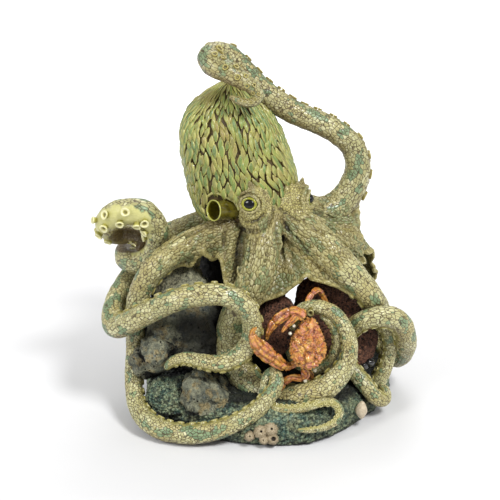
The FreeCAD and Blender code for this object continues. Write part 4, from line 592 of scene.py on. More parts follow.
def arm(name, number):
    C, s, idx = spline(ARMS[name], 0.3)
    keep = s >= np.interp(ROOT_END[name], idx, s) - 30.0
    T, N, B = transport(C[:, :3])
    c = cell_size(C[:, 3])
    stretch = 1.25 + 0.45 * (1 - smoothstep(s, 60, 150))
    S = np.cumsum(0.3 / (stretch * c))
    D = side_dir(name, idx, T)
    nt = 84
    step = np.clip(2 * np.pi * C[:, 3] / nt * 1.02, 0.42, 1.0)
    budget = 97000.0 / nt
    rows = (0.3 / step)[keep].sum()
    if rows > budget:
        step *= rows / budget
    q = np.cumsum(0.3 / step)
    q -= q[keep][0]
    at = np.interp(np.arange(0, q[-1]), q[keep], np.nonzero(keep)[0])
    f = lambda A: np.stack([np.interp(at, np.arange(len(A)), A[:, j]) for j in range(A.shape[1])], 1)
    f1 = lambda A: np.interp(at, np.arange(len(A)), A)
    P, Ti, Ni = f(C[:, :3]), f(T), f(N)
    r, Si, ci, Di = f1(C[:, 3]), f1(S), f1(c), f(D)
    # rounded tip
    tip = np.radians(np.array([20.0, 40.0, 58.0, 72.0, 83.0]))
    P = np.vstack([P, P[-1] + Ti[-1] * (r[-1] * np.sin(tip))[:, None]])
    Si = np.concatenate([Si, Si[-1] + r[-1] * np.sin(tip) / (1.25 * ci[-1])])
    r = np.concatenate([r, r[-1] * np.cos(tip)])
    k = len(tip)
    Ti, Ni, Di = [np.vstack([A, np.repeat(A[-1:], k, 0)]) for A in (Ti, Ni, Di)]
    ci = np.concatenate([ci, np.repeat(ci[-1], k)])
    Ti /= np.linalg.norm(Ti, axis=1)[:, None]
    Ni -= Ti * (Ni * Ti).sum(1)[:, None]
    Ni /= np.linalg.norm(Ni, axis=1)[:, None]
    Bi = np.cross(Ti, Ni)
    th = np.linspace(0, 2 * np.pi, nt, endpoint=False)
    ring = Ni[:, None, :] * np.cos(th)[None, :, None] + Bi[:, None, :] * np.sin(th)[None, :, None]
    dot = (ring * Di[:, None, :]).sum(-1)
    # a little flatter where the suckers sit, and a faint crest opposite
    rr = r[:, None] * (1 - 0.05 * smoothstep(dot, 0.55, 1.0) + 0.012 * np.sin(Si * 1.9)[:, None])
    V = P[:, None, :] + ring * rr[..., None]
    V = V.reshape(-1, 3)
    V[:, 2] = np.maximum(V[:, 2], 1.2)
    n = len(P)
    rest = np.stack([np.repeat(Si[:, None], nt, 1) + 37.0 * number,
                     rr / ci[:, None] * np.cos(th)[None], rr / ci[:, None] * np.sin(th)[None]], -1).reshape(-1, 3)
    size = np.repeat(ci, nt)
    tone = TONE.get(name, 0.0)
    edge0 = 0.52 - 0.10 * np.sin(Si * 2.1)[:, None] - 0.06 * np.sin(Si * 5.3 + 1.0)[:, None]
    far = smoothstep(Si - Si[0], 6, 16)[:, None]
    under = (smoothstep(dot - edge0, -0.04, 0.10) * far).reshape(-1)
    # painted shade: browner on the side of the arm that faces down, where it lies on something
    painted_shade = (0.45 * smoothstep(-ring[..., 2], 0.25, 0.95)).reshape(-1)
    tones = np.full(len(V), tone)
    if name == "top":
        under = 0.30 * under
        painted_shade = (0.72 * smoothstep(-ring[..., 2], 0.0, 0.95) + 0.10).reshape(-1)
    if name == "coil":
        # painted shade: dark brown inside the hollow of the curled arm
        hollow = coil_hollow(V) * smoothstep((ring @ OUT).reshape(-1), -0.45, -0.05)
        painted_shade = np.maximum(painted_shade, 0.88 * hollow)
    if name == "front_left":
        u_, v_, _ = picture(V)
        tones = np.where((u_ > 268) & (v_ > 395), 0.42, tones)
    V = np.vstack([V, P[0], P[-1] + Ti[-1] * r[-1] * 0.1])
    tones = np.append(tones, [tones[0], tones[-1]])
    rest = np.vstack([rest, rest[0], rest[-1]])
    size, under, painted_shade = [np.append(A, [A[0], A[-1]]) for A in (size, under, painted_shade)]
    j = np.arange(nt)
    cap = [np.stack([np.full(nt, n * nt), (j + 1) % nt, j], 1),
           np.stack([np.full(nt, n * nt + 1), (n - 1) * nt + j, (n - 1) * nt + (j + 1) % nt], 1)]
    ob = make("arm_" + name + "_skin", V, [grid_faces(n, nt), np.vstack(cap)],
              {"rest": rest, "size": size * (1 - under), "under": under, "painted_shade": painted_shade, "utone": tones, "place": V},
              material=ARM_SKIN, replaces=["arm_" + name])
    displace(ob, lambda g: g.math("ADD", cell_relief(g, g.attr("rest"), g.attr("size", False)),
                                  g.math("MULTIPLY", g.math("SUBTRACT", g.noise(g.attr("place"), 0.07, 2.0, 0.5), 0.5), 0.0016)))
    return ob


def sucker_shader(g):
    cup, tone = g.attr("cup", False), g.attr("utone", False)
    place = g.attr("place")
    n = g.noise(place, 0.5, 3.0, 0.6)
    # darker down the side to the foot: painted shade round each sucker; the mouth dark inside
    pale = g.ramp(cup, [(0.0, srgb(140, 134, 52)), (0.22, srgb(188, 182, 98)), (0.42, srgb(232, 228, 172)), (0.6, srgb(236, 232, 182)), (0.75, srgb(196, 188, 112)), (1.0, srgb(112, 104, 36))])
    olive = g.ramp(cup, [(0.0, srgb(84, 72, 28)), (0.3, srgb(138, 126, 56)), (0.5, srgb(180, 170, 98)), (0.66, srgb(132, 120, 58)), (1.0, srgb(44, 36, 14))])
    col = g.mixc(tone, olive, pale)
    col = g.mixc(g.range(n, 0.45, 0.7, 0.0, 0.40), col, g.mixc(tone, srgb(112, 100, 44), srgb(186, 180, 100)))
    col = stain_and_painted_shade(g, col, None, 0.7, 0.45)
    h = g.math("MULTIPLY", g.noise(place, 1.2, 3.0, 0.6), 0.0002)
    return col, g.range(n, 0.3, 0.7, 0.22, 0.38), h


SUCKER_GLAZE = material("sucker_glaze", sucker_shader, coat=0.45, coat_rough=0.10)


def picture(P):
    """Where points fall in the front picture, and how deep they lie."""
    eye, _ = sight(250, 250, 0)
    d = np.asarray(P, float) - eye
    w = -(d @ OUT)
    f = 95.0 * 500 / 36
    return 250 + f * (d @ RIGHT) / w, 250 - f * (d @ UP) / w, np.asarray(P, float)[..., 1]


def coil_hollow(P):
    """1 inside the hollow of the curled arm."""
    u, v, y = picture(P)
    q = np.hypot((u - 128.0) / 20.5, (v - 240.5) / 13.5)
    return (1 - smoothstep(q, 0.86, 1.04)) * smoothstep(y, -42.0, -36.0)


def suckers(name, number):
    rnd = random.Random(100 + number)
    parts = []
    nt = 22
    # radius, height and cup value down the side, over the rim and into the mouth
    low = [(1.22, -1.0, 0.0), (1.20, -0.45, 0.0), (1.08, -0.05, 0.08), (1.0, 0.22, 0.22), (0.98, 0.40, 0.38), (0.90, 0.50, 0.5),
           (0.76, 0.49, 0.52), (0.62, 0.40, 0.60), (0.48, 0.26, 0.75), (0.36, 0.08, 0.9), (0.28, -0.12, 1.0), (0.08, -0.25, 1.0)]
    tall = [(0.80, -0.9, 0.0), (0.74, -0.2, 0.0), (0.74, 0.35, 0.05), (0.88, 0.62, 0.2), (1.0, 0.84, 0.36), (1.01, 1.0, 0.44), (0.93, 1.10, 0.5),
            (0.78, 1.08, 0.55), (0.60, 0.94, 0.62), (0.44, 0.78, 0.78), (0.30, 0.62, 1.0), (0.08, 0.52, 1.0)]
    places = [(q, ax, rs, 1.0) for q, ax, rs in sucker_places(name)]
    if name == "ring":
        eye, ray = sight(310.6, 311.4, 0)
        q = eye + ray * ((-86.0 - eye[1]) / ray[1])
        places.append((q, unit(OUT * 0.8 - UP * 0.5 - RIGHT * 0.2), 3.7, 1.25))
    for q, ax, rs, tallness in places:
        prof, k = low, 0.86
        if name == "coil":
            if coil_hollow(q[None])[0] > 0.3 and q[1] > -34:
                if rnd.random() < 0.5:
                    continue
                rs = rs * 0.55
            elif picture(q)[0] < 150 and q[1] < -24:
                prof, k, rs = tall, 0.95, rs * 0.93
        if name == "top" and rs < 4.6 and picture(q)[1] < 110 and picture(q)[2] < 10:
            rs = rs * 0.8
        if tallness > 1:
            prof = tall
        x = unit(np.cross(ax, (0.31, 0.52, 0.79)))
        y = np.cross(ax, x)
        th = np.linspace(0, 2 * np.pi, nt, endpoint=False)
        wob = 1 + 0.06 * np.sin(2 * th + rnd.random() * 6) + 0.04 * np.sin(3 * th + rnd.random() * 6)
        sc = rs * (0.92 + 0.16 * rnd.random())
        hs = rs * k * (0.9 + 0.25 * rnd.random())
        lean = x * rnd.gauss(0, 0.10) + y * rnd.gauss(0, 0.10)
        V = []
        for r, h, _ in prof:
            rr = sc * r * (wob if r > 0.3 else 1.0)
            V.append(q[None] + x[None] * (rr * np.cos(th))[:, None] + y[None] * (rr * np.sin(th))[:, None] + (ax + lean)[None] * (h * hs))
        V = np.vstack(V)
        cup = np.repeat([p[2] for p in prof], nt)
        last = (len(prof) - 1) * nt
        F = grid_faces(len(prof), nt)
        end = np.array([[last + k for k in range(nt)]])
        tone = TONE.get(name, 0.0)
        if name == "front_left" and picture(q)[0] > 268 and picture(q)[1] > 395:
            tone = 0.5
        parts.append((V, [F, end], {"cup": cup, "place": V, "utone": np.full(len(V), tone)}))
    V, F, A = join(parts)
    return make("suckers_" + name + "_cups", V, F, A, material=SUCKER_GLAZE, replaces=["suckers_" + name])


# ------------------------------------------------------------------ body: voxel distance field and surface nets
class Voxels:
    def __init__(self, lo, hi, h):
        self.lo, self.h = np.array(lo, float), h
        self.n = tuple(int(x) for x in np.ceil((np.array(hi) - self.lo) / h).astype(int) + 1)
        self.ax = [self.lo[i] + h * np.arange(self.n[i]) for i in range(3)]

    def field(self, far=8.0):
        return np.full(self.n, far, np.float32)

    def balls(self, F, P, R, margin=6.0):
        P, R = np.asarray(P, float), np.broadcast_to(np.asarray(R, float), (len(P),))
        m = (R + margin)[:, None]
        a = np.maximum(np.floor((P - m - self.lo) / self.h).astype(int), 0)
        b = np.minimum(np.ceil((P + m - self.lo) / self.h).astype(int) + 1, np.array(self.n))
        X, Y, Z = self.ax
        for p, r, i, j in zip(P, R, a, b):
            if (j <= i).any():
                continue
            dx = (X[i[0]:j[0]] - p[0]) ** 2
            dy = (Y[i[1]:j[1]] - p[1]) ** 2
            dz = (Z[i[2]:j[2]] - p[2]) ** 2
            d = np.sqrt(dx[:, None, None] + dy[None, :, None] + dz[None, None, :], dtype=np.float64).astype(np.float32) - np.float32(r)
            blk = F[i[0]:j[0], i[1]:j[1], i[2]:j[2]]
            np.minimum(blk, d, out=blk)
        return F

    def ellipsoid(self, c, h):
        X, Y, Z = [((a - c[i]) / h[i]) ** 2 for i, a in enumerate(self.ax)]
        q = np.sqrt(X[:, None, None] + Y[None, :, None] + Z[None, None, :]).astype(np.float32)
        return (q - 1) * np.float32(min(h))


def sight(u, v, y):
    """The point at depth y on the line of sight through a place in the picture."""
    f = 95.0 * 500 / 36
    ray = -OUT + RIGHT * (u - 250) / f + UP * (250 - v) / f
    eye = np.array([-6.5, 0.0, 160.0]) + OUT * 1400.0
    return eye, ray / np.linalg.norm(ray)


def on_surface(vox, F, pts, r, lift):
    """Points along a drawn line where it first meets the field, moved out by lift x radius."""
    C, _, _ = spline([(u, v, 0.0, 0.0) for u, v in pts], 0.6)
    n = len(C)
    t = np.arange(1180.0, 1480.0, 0.6)
    P, R = [], []
    for i, (u, v, _, _) in enumerate(C):
        eye, ray = sight(u, v, 0)
        Q = eye[None] + ray[None] * t[:, None]
        I = np.round((Q - vox.lo) / vox.h).astype(int)
        ok = ((I >= 0) & (I < np.array(vox.n))).all(1)
        I = np.clip(I, 0, np.array(vox.n) - 1)
        hit = ok & (F[I[:, 0], I[:, 1], I[:, 2]] < 0)
        if hit.any():
            w = math.sin(math.pi * (i + 0.5) / n) ** 0.6
            rr = r * (0.35 + 0.65 * w)
            P.append(Q[int(hit.argmax())] - ray * rr * lift)
            R.append(rr)
    if not P:
        P, R = [[0.0, 0.0, -500.0]], [0.1]
    return np.array(P), np.array(R)


# lines in the picture's own units, the radius of the tool in millimetres, how far its middle stands off the skin
SURFACE_RIDGES = [
    ([(270.0, 204), (269.3, 211), (266, 218.5), (259, 224.5), (250, 227.0), (243, 223.5), (239.8, 217)], 2.7, 0.0),
    ([(310, 215), (321, 220), (331, 226), (344, 233), (358, 235.5)], 3.0, -0.15),
    ([(340, 240.5), (350, 243.5), (362, 243)], 2.4, -0.1),
    ([(326, 213), (338, 217), (350, 219), (358, 216)], 2.2, -0.2),
    ([(284, 214), (291, 226), (299, 238), (308, 250)], 2.2, -0.5),
    ([(228, 233), (222, 241), (219, 251)], 2.2, -0.2),
    ([(235, 233), (231, 245), (230, 257), (233, 270)], 2.4, -0.2),
    ([(262, 230), (259, 246), (254, 268), (251, 290)], 2.2, -0.3),
    ([(196, 229), (186, 234), (174, 241), (163, 249)], 2.6, -0.3)]
SURFACE_FOLDS = [
    ([(273.8, 203), (273.0, 213), (269.2, 222.5), (261.5, 229.5), (250, 231.8), (241, 228.0), (236.8, 220)], 3.0, 0.25, 0.0),
    ([(266.0, 206), (264.4, 213), (258, 219.2), (247.5, 222.2), (243, 219.5)], 1.5, 0.35, 0.0),
    ([(237.2, 199), (236.4, 208), (236.4, 218), (238.5, 228)], 2.6, 0.3, 0.0),
    ([(275.5, 196), (278.5, 206), (287, 213.5), (299, 220.5), (309, 217.5)], 2.4, 0.3, 0.0),
    ([(241.5, 233), (241, 243), (240, 254), (240, 266), (242, 280)], 4.2, 0.45, 0.7),
    ([(276.5, 219), (277, 229), (278.5, 240), (281, 252), (284, 262)], 3.0, 0.45, 0.5),
    ([(286, 246), (290, 256), (295, 266)], 11.0, 0.82, 0.45),
    ([(303, 222), (318, 229.5), (331, 236), (345, 245), (358, 255), (371, 270)], 3.6, 0.4, 0.35),
    ([(313, 204), (324, 206), (334.5, 205), (347, 200), (357, 194)], 3.4, 0.4, 0.5),
    ([(317, 211), (329, 217.5), (341, 224.5), (352, 228)], 2.4, 0.35, 0.5),
    ([(333, 236), (344, 240), (354, 240)], 2.2, 0.35, 0.6),
    ([(352, 203), (354, 212), (357, 222)], 3.4, 0.5, 0.8),
    ([(226, 229), (224, 238), (224, 248)], 2.4, 0.3, 0.5),
    ([(206, 226), (195, 232), (182, 238), (170, 246)], 2.8, 0.3, 0.4),
    ([(250, 238), (248, 252), (246, 270)], 1.8, 0.4, 0.0),
    ([(268, 238), (267, 254), (263, 274)], 2.0, 0.4, 0.0),
    ([(296, 236), (306, 250), (318, 262), (332, 275)], 1.8, 0.45, 0.0)]


def smin(a, b, k):
    h = np.maximum(k - np.abs(a - b), 0) / k
    return np.minimum(a, b) - h * h * (k * 0.25)


def smax(a, b, k):
    return -smin(-a, -b, k)


def surface_nets(F, lo, h):
    s = F < 0
    cnt = np.zeros(tuple(n - 1 for n in F.shape), np.int8)
    cs = [(i, j, k) for i in (0, 1) for j in (0, 1) for k in (0, 1)]
    def sl(A, c):
        return A[c[0]:A.shape[0] - 1 + c[0], c[1]:A.shape[1] - 1 + c[1], c[2]:A.shape[2] - 1 + c[2]]
    for c in cs:
        cnt += sl(s, c)
    act = (cnt > 0) & (cnt < 8)
    I = np.argwhere(act)
    idx = np.full(act.shape, -1, np.int32)
    idx[act] = np.arange(len(I))
    val = {c: F[I[:, 0] + c[0], I[:, 1] + c[1], I[:, 2] + c[2]].astype(float) for c in cs}
    pos = np.zeros((len(I), 3))
    n = np.zeros(len(I))
    for c in cs:
        for a in range(3):
            if c[a] == 0:
                d = tuple(c[b] + (1 if b == a else 0) for b in range(3))
                fa, fb = val[c], val[d]
                x = (fa < 0) != (fb < 0)
                t = fa[x] / (fa[x] - fb[x])
                pos[x] += np.array(c, float)
                pos[x, a] += t
                n[x] += 1
    V = lo + h * (I + pos / n[:, None])
    Q = []
    for a in range(3):
        b, c = (a + 1) % 3, (a + 2) % 3
        s0 = [slice(None)] * 3
        s1 = [slice(None)] * 3
        s0[a], s1[a] = slice(0, -1), slice(1, None)
        ch = s[tuple(s0)] != s[tuple(s1)]
        E = np.argwhere(ch)
        E = E[(E[:, b] > 0) & (E[:, c] > 0) & (E[:, b] < F.shape[b] - 1) & (E[:, c] < F.shape[c] - 1)]
        ins = s[E[:, 0], E[:, 1], E[:, 2]]
        def cell(db, dc):
            G = E.copy()
            G[:, b] -= db
            G[:, c] -= dc
            return idx[G[:, 0], G[:, 1], G[:, 2]]
        q = np.stack([cell(1, 1), cell(0, 1), cell(0, 0), cell(1, 0)], 1)
        q[~ins] = q[~ins][:, ::-1]
        Q.append(q)
    Q = np.vstack(Q)
    return V, Q[(Q >= 0).all(1)]


def relax(V, Q, times=2, k=0.5):
    E = np.vstack([Q[:, [0, 1]], Q[:, [1, 2]], Q[:, [2, 3]], Q[:, [3, 0]]])
    deg = np.bincount(E.ravel(), minlength=len(V)).astype(float)
    for _ in range(times):
        S = np.zeros_like(V)
        for a in range(3):
            S[:, a] = np.bincount(E[:, 0], V[E[:, 1], a], len(V)) + np.bincount(E[:, 1], V[E[:, 0], a], len(V))
        V = V + k * (S / np.maximum(deg, 1)[:, None] - V)
    return V


def refine(grid, n, m):
    """Catmull-Rom in both directions of a grid of points."""
    G = np.array(grid, float)
    def one(A, k):
        t = np.linspace(0, len(A) - 1, k)
        i = np.minimum(t.astype(int), len(A) - 2)
        w = (t - i).reshape((-1,) + (1,) * (A.ndim - 1))
        E = np.concatenate([2 * A[:1] - A[1:2], A, 2 * A[-1:] - A[-2:-1]])
        p0, p1, p2, p3 = E[i], E[i + 1], E[i + 2], E[i + 3]
        return 0.5 * (2 * p1 + (p2 - p0) * w + (2 * p0 - 5 * p1 + 4 * p2 - p3) * w ** 2 + (3 * p1 - p0 - 3 * p2 + p3) * w ** 3)
    G = one(G, n)
    return one(G.transpose(1, 0, 2), m).transpose(1, 0, 2)


LIP_SIDE = {"web_left": "cols", "web_centre": "cols"}


def web_points(name):
    """Sample points, radii and free-edge points of one sheet of skin between arms."""
    g = np.array(WEBS[name], float)
    lu = np.linalg.norm(np.diff(g, axis=0), axis=2).sum(0).max()
    lv = np.linalg.norm(np.diff(g, axis=1), axis=2).sum(1).max()
    G = refine(g, int(lu / 0.8) + 2, int(lv / 0.8) + 2)
    du, dv = np.gradient(G, axis=0), np.gradient(G, axis=1)
    nrm = np.cross(du, dv)
    nrm /= np.maximum(np.linalg.norm(nrm, axis=2), 1e-9)[..., None]
    if LIP_SIDE.get(name) == "cols":
        along = np.concatenate([np.zeros((1, G.shape[1])), np.cumsum(np.linalg.norm(np.diff(G, axis=0), axis=2), axis=0)], 0)
        off = np.concatenate([np.cumsum(np.linalg.norm(np.diff(G, axis=1), axis=2)[:, ::-1], axis=1)[:, ::-1], np.zeros((len(G), 1))], 1)
        lip = G[:, -1]
    else:
        along = np.concatenate([np.zeros((len(G), 1)), np.cumsum(np.linalg.norm(np.diff(G, axis=1), axis=2), axis=1)], 1)
        off = np.concatenate([np.cumsum(np.linalg.norm(np.diff(G, axis=0), axis=2)[::-1], axis=0)[::-1], np.zeros((1, G.shape[1]))], 0)
        lip = G[-1]
    w = np.clip(1 - off / 14.0, 0, 1) ** 1.5
    wave = (np.sin(along / 1.9 + 1.3 * np.sin(along / 7.1)) * 1.1 + np.sin(along / 4.3 + 2.0) * 1.0) * w
    G = G + nrm * wave[..., None]
    if "rear" in name:
        fall = np.clip(1 - off / 48.0, 0, 1)
        fold = 2.3 * np.sin(along / 6.2 + 0.8 * np.sin(along / 11.0)) + 1.1 * np.sin(along / 2.8 + 1.0) * np.clip(1 - off / 12.0, 0, 1)
        out = 2.8 * np.sin(along / 8.0 + 1.0) + 1.3 * np.sin(along / 3.1)
        down = du / np.maximum(np.linalg.norm(du, axis=2), 1e-9)[..., None]
        G = G + nrm * (fold * fall)[..., None] + down * (out * np.clip(1 - off / 16.0, 0, 1))[..., None]
    lip = G[:, -1] if LIP_SIDE.get(name) == "cols" else G[-1]
    R = 1.5 + 0.55 * np.clip(1 - off / 2.5, 0, 1)
    return G.reshape(-1, 3), R.reshape(-1), lip


def head_parts():
    return [((21.0, -7.0, 203.0), (38.0, 33.0, 29.0)), ((-1.0, -35.0, 221.0), (17.5, 17.0, 26.0)),
            ((38.5, -17.0, 219.0), (19.5, 18.0, 19.5))]


def eye_frame(side):
    c, g = EYES[side]
    g = unit(g)
    u = unit(np.array([0, 0, 1.0]) - g * g[2])
    return np.array(c), g, u, np.cross(u, g)


HORNS = [
    ((-4.0, -42.0, 240.1), (-0.25, -0.14, 0.96), 14.3, 5.2),
    ((-0.4, -42.0, 240.1), (-0.3, -0.26, 0.92), 11.6, 3.6),
    ((2.1, -40.0, 239.4), (0.55, 0.0, 0.84), 6.4, 2.6),
    ((46.4, -16.0, 238.5), (0.16, -0.1, 0.98), 9.6, 4.2),
    ((51.0, -19.0, 234.1), (0.74, -0.22, 0.64), 4.6, 2.6),
    ((41.7, -18.0, 239.7), (0.07, -0.37, 0.93), 5.4, 2.6),
    ((36.0, -20.0, 238.8), (0.08, -0.41, 0.91), 4.9, 2.4),
    ((30.4, -22.0, 236.8), (-0.13, -0.42, 0.9), 4.8, 2.4),
    ((56.3, -22.0, 217.2), (0.83, 0.48, 0.29), 8.3, 3.2),
    ((49.9, -30.0, 211.9), (0.29, -0.37, -0.88), 5.4, 4.2)]


def body():
    roots, webs, lips = {}, [], []
    for k, table in ARMS.items():
        C, s, idx = spline(table, 1.0)
        s1 = np.interp(ROOT_END[k], idx, s)
        keep = s < s1 + 26
        r = C[:, 3] + 0.5 - 5.5 * np.clip((s - s1) / 26, 0, 1)
        roots[k] = (C[keep, :3], np.maximum(r[keep], 1.0))
    for k in WEBS:
        P, R, lip = web_points(k)
        webs.append((P, R))
        lips.append(lip)
    allp = np.vstack([p for p, _ in roots.values()] + [p for p, _ in webs])
    h = 1.0
    vox = Voxels(allp.min(0) - 20, np.maximum(allp.max(0), [0, 0, 246]) + 20, h)
    head = None
    for i, (c, hs) in enumerate(head_parts()):
        e = vox.ellipsoid(c, hs)
        head = e if head is None else smin(head, e, 5.0 if i == 2 else 4.0)
    total = head
    for k, (P, R) in roots.items():
        F = vox.balls(vox.field(), P, R)
        total = smin(total, F, 3.5)
    F = vox.field()
    for P, R in webs:
        vox.balls(F, P, R, 5.0)
    total = smin(total, F, 5.0)
    # folds: narrow crests that run from the head down to the edges of the webs
    F = vox.field()
    for row in CRESTS:
        C, s, _ = spline(row, 0.8)
        vox.balls(F, C[:, :3], C[:, 3], 5.0)
    total = smin(total, F, 4.0)
    # eye mounds again, so that they stand off the arms with a crease
    for i, (c, hs) in enumerate(head_parts()[1:]):
        total = smin(total, vox.ellipsoid(c, hs), 1.2)
    F = vox.field()
    for p, d, l, r in HORNS:
        d = unit(d)
        t = np.linspace(-3, l, 24)
        vox.balls(F, np.array(p)[None] + d[None] * t[:, None], np.maximum(r * (1 - np.clip(t, 0, l) / l) ** 0.8, 0.55), 4.0)
    total = smin(total, F, 2.0)
    # lids: a ring round each eye, thicker above, and the socket
    F = vox.field()
    sock = vox.field()
    for side in EYES:
        c, g, u, rt = eye_frame(side)
        a = np.linspace(0, 2 * np.pi, 90, endpoint=False)
        P = c + g * 3.2 + rt * (9.6 * np.cos(a))[:, None] + u * (8.3 * np.sin(a))[:, None] - g * (1.6 * np.cos(a) ** 2)[:, None]
        vox.balls(F, P, 1.7 + 0.7 * np.clip(np.sin(a), 0, 1), 4.0)
        a = np.radians(np.linspace(-12, 178, 90))
        P = c + g * 1.6 + rt * (13.6 * np.cos(a))[:, None] + u * (12.6 * np.sin(a))[:, None] - g * (3.4 * np.cos(a) ** 2)[:, None]
        vox.balls(F, P, 2.1, 4.0)
        P = c + g * 3.2 + rt * (11.7 * np.cos(a))[:, None] + u * (10.6 * np.sin(a))[:, None] - g * (2.6 * np.cos(a) ** 2)[:, None]
        vox.balls(sock, P, 1.15, 4.0)
        t = np.linspace(0.5, 12, 12)
        vox.balls(sock, c + g * t[:, None], 7.5, 4.0)
    total = smin(total, F, 2.0)
    total = smax(total, -sock, 0.8)
    # folds pressed into the skin and the crests between them, laid on the surface along lines of sight
    crest = vox.field()
    for pts, r, lift in SURFACE_RIDGES:
        vox.balls(crest, *on_surface(vox, total, pts, r, lift), 4.0)
    cut, back, barep, barer = vox.field(), vox.field(), [], []
    for pts, r, lift, bare_ in SURFACE_FOLDS:
        P, R = on_surface(vox, total, pts, r, lift)
        vox.balls(cut, P, R, 4.0)
        Pb, Rb = on_surface(vox, total, pts, r * 1.15, -1.25)
        vox.balls(back, Pb, Rb, 4.0)
        barep.append(P)
        barer.append(np.stack([R * 1.25, np.full(len(R), bare_)], 1))
    total = smin(total, back, 1.0)
    total = smin(total, crest, 2.2)
    total = smax(total, -cut, 1.5)
    barep, barer = np.vstack(barep), np.vstack(barer)
    for A in (total[0], total[-1], total[:, 0], total[:, -1], total[:, :, 0], total[:, :, -1]):
        A[...] = 8.0
    # how enclosed each place is, for the painted shade in the folds
    def blur(occ, w, times):
        for a in range(3):
            for _ in range(times):
                cs = np.cumsum(occ, axis=a)
                pad = [(0, 0)] * 3
                pad[a] = (w + 1, w)
                cs = np.pad(cs, pad, mode="edge")
                n = occ.shape[a]
                hi = [slice(None)] * 3
                lo_ = [slice(None)] * 3
                hi[a], lo_[a] = slice(2 * w + 1, 2 * w + 1 + n), slice(0, n)
                first = [slice(None)] * 3
                first[a] = slice(0, w + 1)
                cs[tuple(first)] = 0
                occ = (cs[tuple(hi)] - cs[tuple(lo_)]) / (2 * w + 1)
        return occ
    solid = (total < 0).astype(np.float32)
    near, wide = blur(solid, 2, 1), blur(solid, 4, 2)
    V, Q = surface_nets(total, vox.lo, h)
    V = relax(V, Q, 2, 0.45)
    I = np.clip(np.round((V - vox.lo) / h).astype(int), 0, np.array(vox.n) - 1)
    cav, fine = wide[I[:, 0], I[:, 1], I[:, 2]], near[I[:, 0], I[:, 1], I[:, 2]]
    # painted shade in the hollows and creases; the crests painted paler, partly rubbed glaze and partly painted
    # highlight
    painted_shade = 0.9 * smoothstep(cav, 0.545, 0.75)
    painted_crease_shade = 0.80 * smoothstep(fine, 0.56, 0.72)
    worn_and_highlit = smoothstep(-fine, -0.45, -0.30)
    bare = np.zeros(len(V))
    # bare skin along the drawn folds, and painted shade along their lines
    for k in range(0, len(V), 4000):
        d = np.sqrt(((V[k:k + 4000, None, :] - barep[None, ::2, :]) ** 2).sum(-1)) / barer[None, ::2, 0]
        j = d.argmin(1)
        dj = d[np.arange(len(j)), j]
        bare[k:k + 4000] = barer[::2][j, 1] * (1 - smoothstep(dj, 0.85, 1.25))
        painted_crease_shade[k:k + 4000] = np.maximum(painted_crease_shade[k:k + 4000], np.where(barer[::2][j, 0] < 6.6, 0.72, 0.30) * (1 - smoothstep(dj, 0.30, 0.92)))
    # distance to the free edges
    L = np.vstack(lips)
    lipd = np.full(len(V), 99.0)
    for k in range(0, len(V), 4000):
        d = ((V[k:k + 4000, None, :] - L[None, ::2, :]) ** 2).sum(-1)
        lipd[k:k + 4000] = np.sqrt(d.min(1))
    lip = 0.85 * smoothstep(-lipd, -3.6, -1.9)
    # face: fine grain on the mounds and between them
    face = np.zeros(len(V))
    for c, hs in head_parts()[1:] + [((17.0, -26.0, 222.0), (16.0, 14.0, 14.0))]:
        q = np.linalg.norm((V - np.array(c)) / (np.array(hs) + 3.0), axis=1)
        face = np.maximum(face, 1 - smoothstep(q, 0.92, 1.10))
    # cell coordinates from the nearest arm's own line
    lines, num = [], 0
    for k, table in ARMS.items():
        C, s, idx = spline(table, 2.0)
        T, N, B = transport(C[:, :3])
        m = s < np.interp(ROOT_END[k], idx, s) + 40
        cs = cell_size(C[:, 3])
        S = np.cumsum(np.full(len(cs), 2.0 / 5.4)) + 37.0 * num + 11.0
        lines.append((C[m], S[m], T[m], N[m], B[m], cs[m]))
        num += 1
    allC = np.vstack([l[0][:, :3] for l in lines])
    allR = np.concatenate([l[0][:, 3] for l in lines])
    allS = np.concatenate([l[1] for l in lines])
    allT, allN, allB = [np.vstack([l[i] for l in lines]) for i in (2, 3, 4)]
    owner = np.concatenate([np.full(len(l[0]), i) for i, l in enumerate(lines)])
    def nearest(P, pick=None):
        best = np.zeros(len(P), int)
        for k in range(0, len(P), 3000):
            d = np.sqrt(((P[k:k + 3000, None, :] - allC[None]) ** 2).sum(-1)) - 0.6 * allR[None]
            if pick is not None:
                d = d + 1e3 * (owner[None] != pick[k:k + 3000, None])
            best[k:k + 3000] = d.argmin(1)
        return best
    def coords(P, i):
        D = P - allC[i]
        t = (D * allT[i]).sum(1)
        return np.stack([allS[i] + t / 5.4, (D * allN[i]).sum(1) / 3.3, (D * allB[i]).sum(1) / 3.3], 1)
    cen = V[Q].mean(1)
    fown = owner[nearest(cen)]
    vi = nearest(V)
    rest = coords(V, vi)
    corner = np.zeros((len(Q), 4, 3))
    for c in range(4):
        P = V[Q[:, c]]
        corner[:, c] = coords(P, nearest(P, fown))
    pieces = {"front_left": (cen[:, 1] < -12) & (cen[:, 0] < 16), "front_right": (cen[:, 1] < -12) & (cen[:, 0] >= 16),
              "rear_left": (cen[:, 1] >= -12) & (cen[:, 0] < 16), "rear_right": (cen[:, 1] >= -12) & (cen[:, 0] >= 16)}
